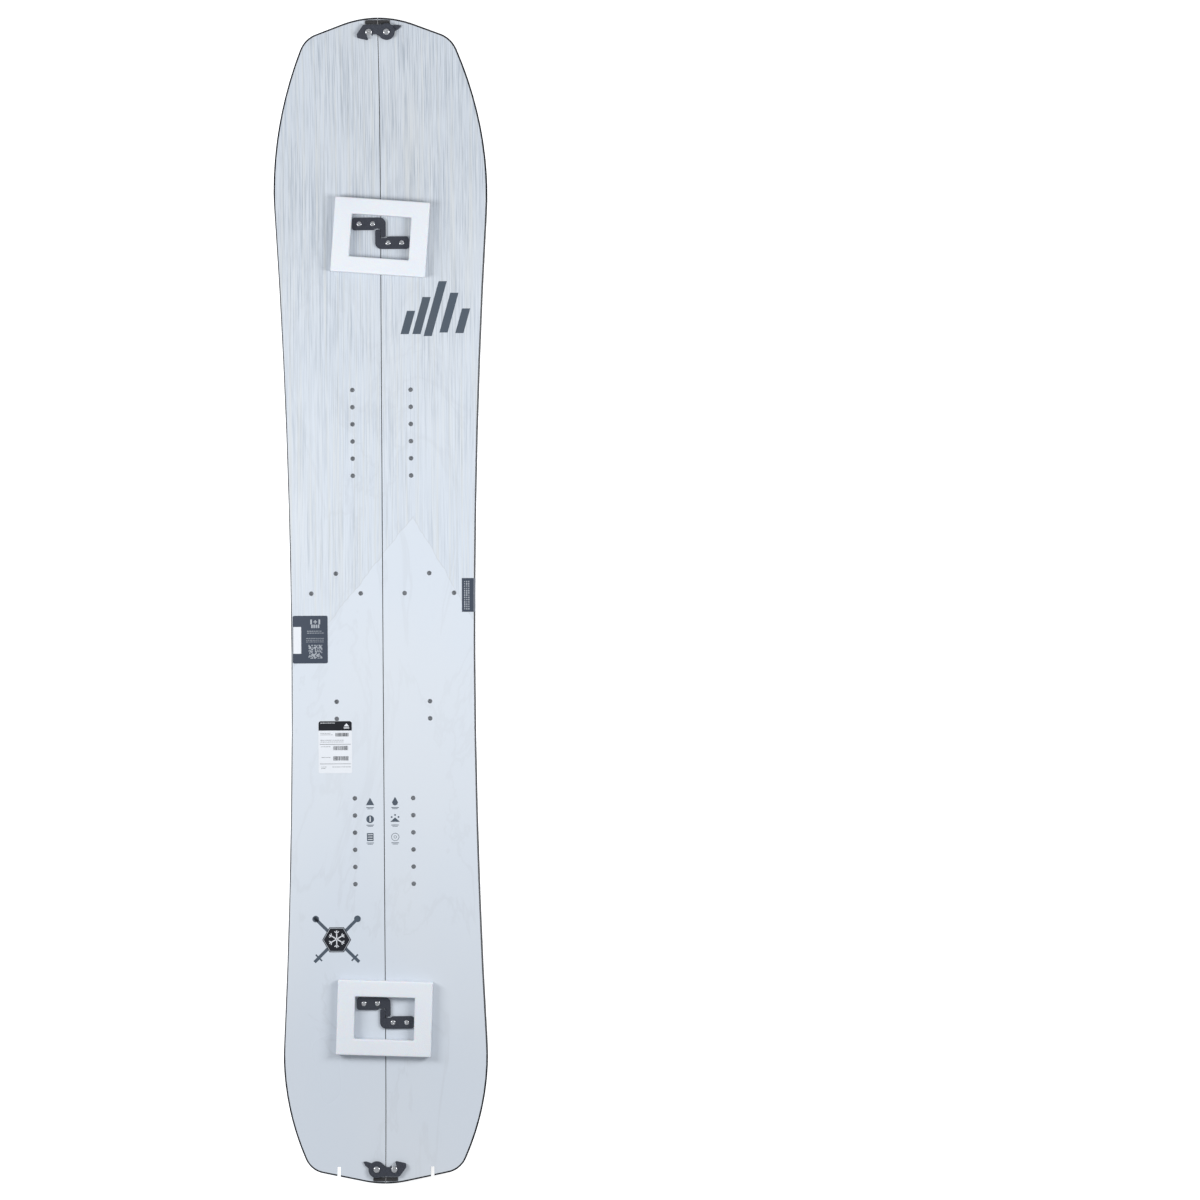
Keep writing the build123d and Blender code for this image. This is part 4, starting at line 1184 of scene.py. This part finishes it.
def divide(work):
    """Cut long edges until the faces are fine enough to dent."""
    for _ in range(FOAM_MOST_CUTS):
        long_edges = [e for e in work.edges if e.calc_length() > FOAM_CELL_MM * MM]
        if not long_edges:
            break
        bmesh.ops.subdivide_edges(work, edges=long_edges, cuts=1)
        bmesh.ops.triangulate(work, faces=work.faces)


def dent(work):
    """Press the faces in by a small, slowly changing depth."""
    bmesh.ops.recalc_face_normals(work, faces=work.faces)
    work.normal_update()
    for v in work.verts:
        wave = sum(math.sin(v.co.x * across + v.co.y * along) for across, along in FOAM_WAVES)
        v.co -= v.normal * (FOAM_DENT + FOAM_DENT_SWING * wave) * MM


def foam_guard(node):
    """A die-cut foam frame with crushed, rounded edges and slightly uneven faces."""
    mesh = NODES[node].data.copy()
    piece = bpy.data.objects.new(node + "_soft", mesh)
    bpy.context.scene.collection.objects.link(piece)
    centre = sum(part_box(node), Vector()) / 2
    mesh.transform(Matrix.Translation(-centre))
    work = bmesh.new()
    work.from_mesh(mesh)
    round_edges(work)
    divide(work)
    dent(work)
    work.to_mesh(mesh)
    work.free()
    mesh.transform(Matrix.Translation(centre))
    mesh.materials.clear()
    mesh.materials.append(FOAM)
    for polygon in mesh.polygons:
        polygon.use_smooth = True
    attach(piece, node)
    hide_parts(node)


# ======================================================================================
# Stage and camera
# ======================================================================================
FLOOR_SIZE = 60.0
FLOOR_DROP = 0.0002
FLOOR_GLOW = 0.75
FLOOR_GRAIN = Grain(3, 3, 3, detail=2.0)
SURROUND_STRENGTH = 0.42
LAMP_SIZE = (0.6, 0.9)
LAMP_AIM = (0.0, 0.0, 0.0)
LAMPS = {
    "key_left": ((-1.2, 0.15, 1.08), 18.4),
    "key_right": ((1.3, 0.15, 1.12), 20.4),
}

CAMERA_RANGE = 4.5
CAMERA_SIDE = 0.3165
CAMERA_FORWARD = 0.0008
CAMERA_TURN_DEG = -0.36
CAMERA_REACH = 50.0
FRAME_WIDTH_M = 1.7498
SENSOR_MM = 36.0


def area_light(name, place, power):
    light = bpy.data.lights.new(name, "AREA")
    light.shape = "RECTANGLE"
    light.size, light.size_y = LAMP_SIZE
    light.energy = power
    lamp = bpy.data.objects.new(name, light)
    lamp.location = place
    lamp.visible_camera = False
    lamp.rotation_euler = (Vector(LAMP_AIM) - Vector(place)).to_track_quat("-Z", "Y").to_euler()
    bpy.context.scene.collection.objects.link(lamp)


def floor_material():
    s = Shader("pale_floor")
    tone = s.mix(s.grain(FLOOR_GRAIN), FLOOR_PALE, FLOOR_SHADE)
    s.set(Base_Color=tone, Roughness=0.9, Specular_IOR_Level=0.1)
    return s.set(Emission_Color=FLOOR_LIGHT, Emission_Strength=FLOOR_GLOW).material


def stage():
    """A plain pale floor, soft light from both sides, and an even surround."""
    bpy.ops.mesh.primitive_plane_add(size=FLOOR_SIZE, location=(0.0, 0.0, -FLOOR_DROP))
    floor = bpy.context.object
    floor.name = "floor"
    floor.data.materials.append(floor_material())
    world = bpy.data.worlds.new("surround")
    world.use_nodes = True
    background = world.node_tree.nodes["Background"]
    background.inputs["Color"].default_value = SURROUND
    background.inputs["Strength"].default_value = SURROUND_STRENGTH
    bpy.context.scene.world = world
    for name, (place, power) in LAMPS.items():
        area_light(name, place, power)


def camera():
    """A long lens straight above, to the side of the board, as in the picture of both its faces."""
    data = bpy.data.cameras.new("photo_camera")
    data.sensor_width = SENSOR_MM
    data.lens = SENSOR_MM * CAMERA_RANGE / FRAME_WIDTH_M
    data.clip_end = CAMERA_REACH
    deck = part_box("left_topsheet")[0].z
    cam = bpy.data.objects.new("photo_camera", data)
    cam.location = (CAMERA_SIDE, CAMERA_FORWARD, CAMERA_RANGE + deck)
    cam.rotation_euler = (0.0, 0.0, math.radians(CAMERA_TURN_DEG))
    bpy.context.scene.collection.objects.link(cam)
    bpy.context.scene.camera = cam
    bpy.context.scene.view_settings.view_transform = "Standard"


paint_cad()
deck_mark()
badge()
icons()
price_label_print()
care_label_print()
edge_label_print()
hang_tag_print()
for guard in FOAM_GUARDS:
    foam_guard(guard)
stage()
camera()
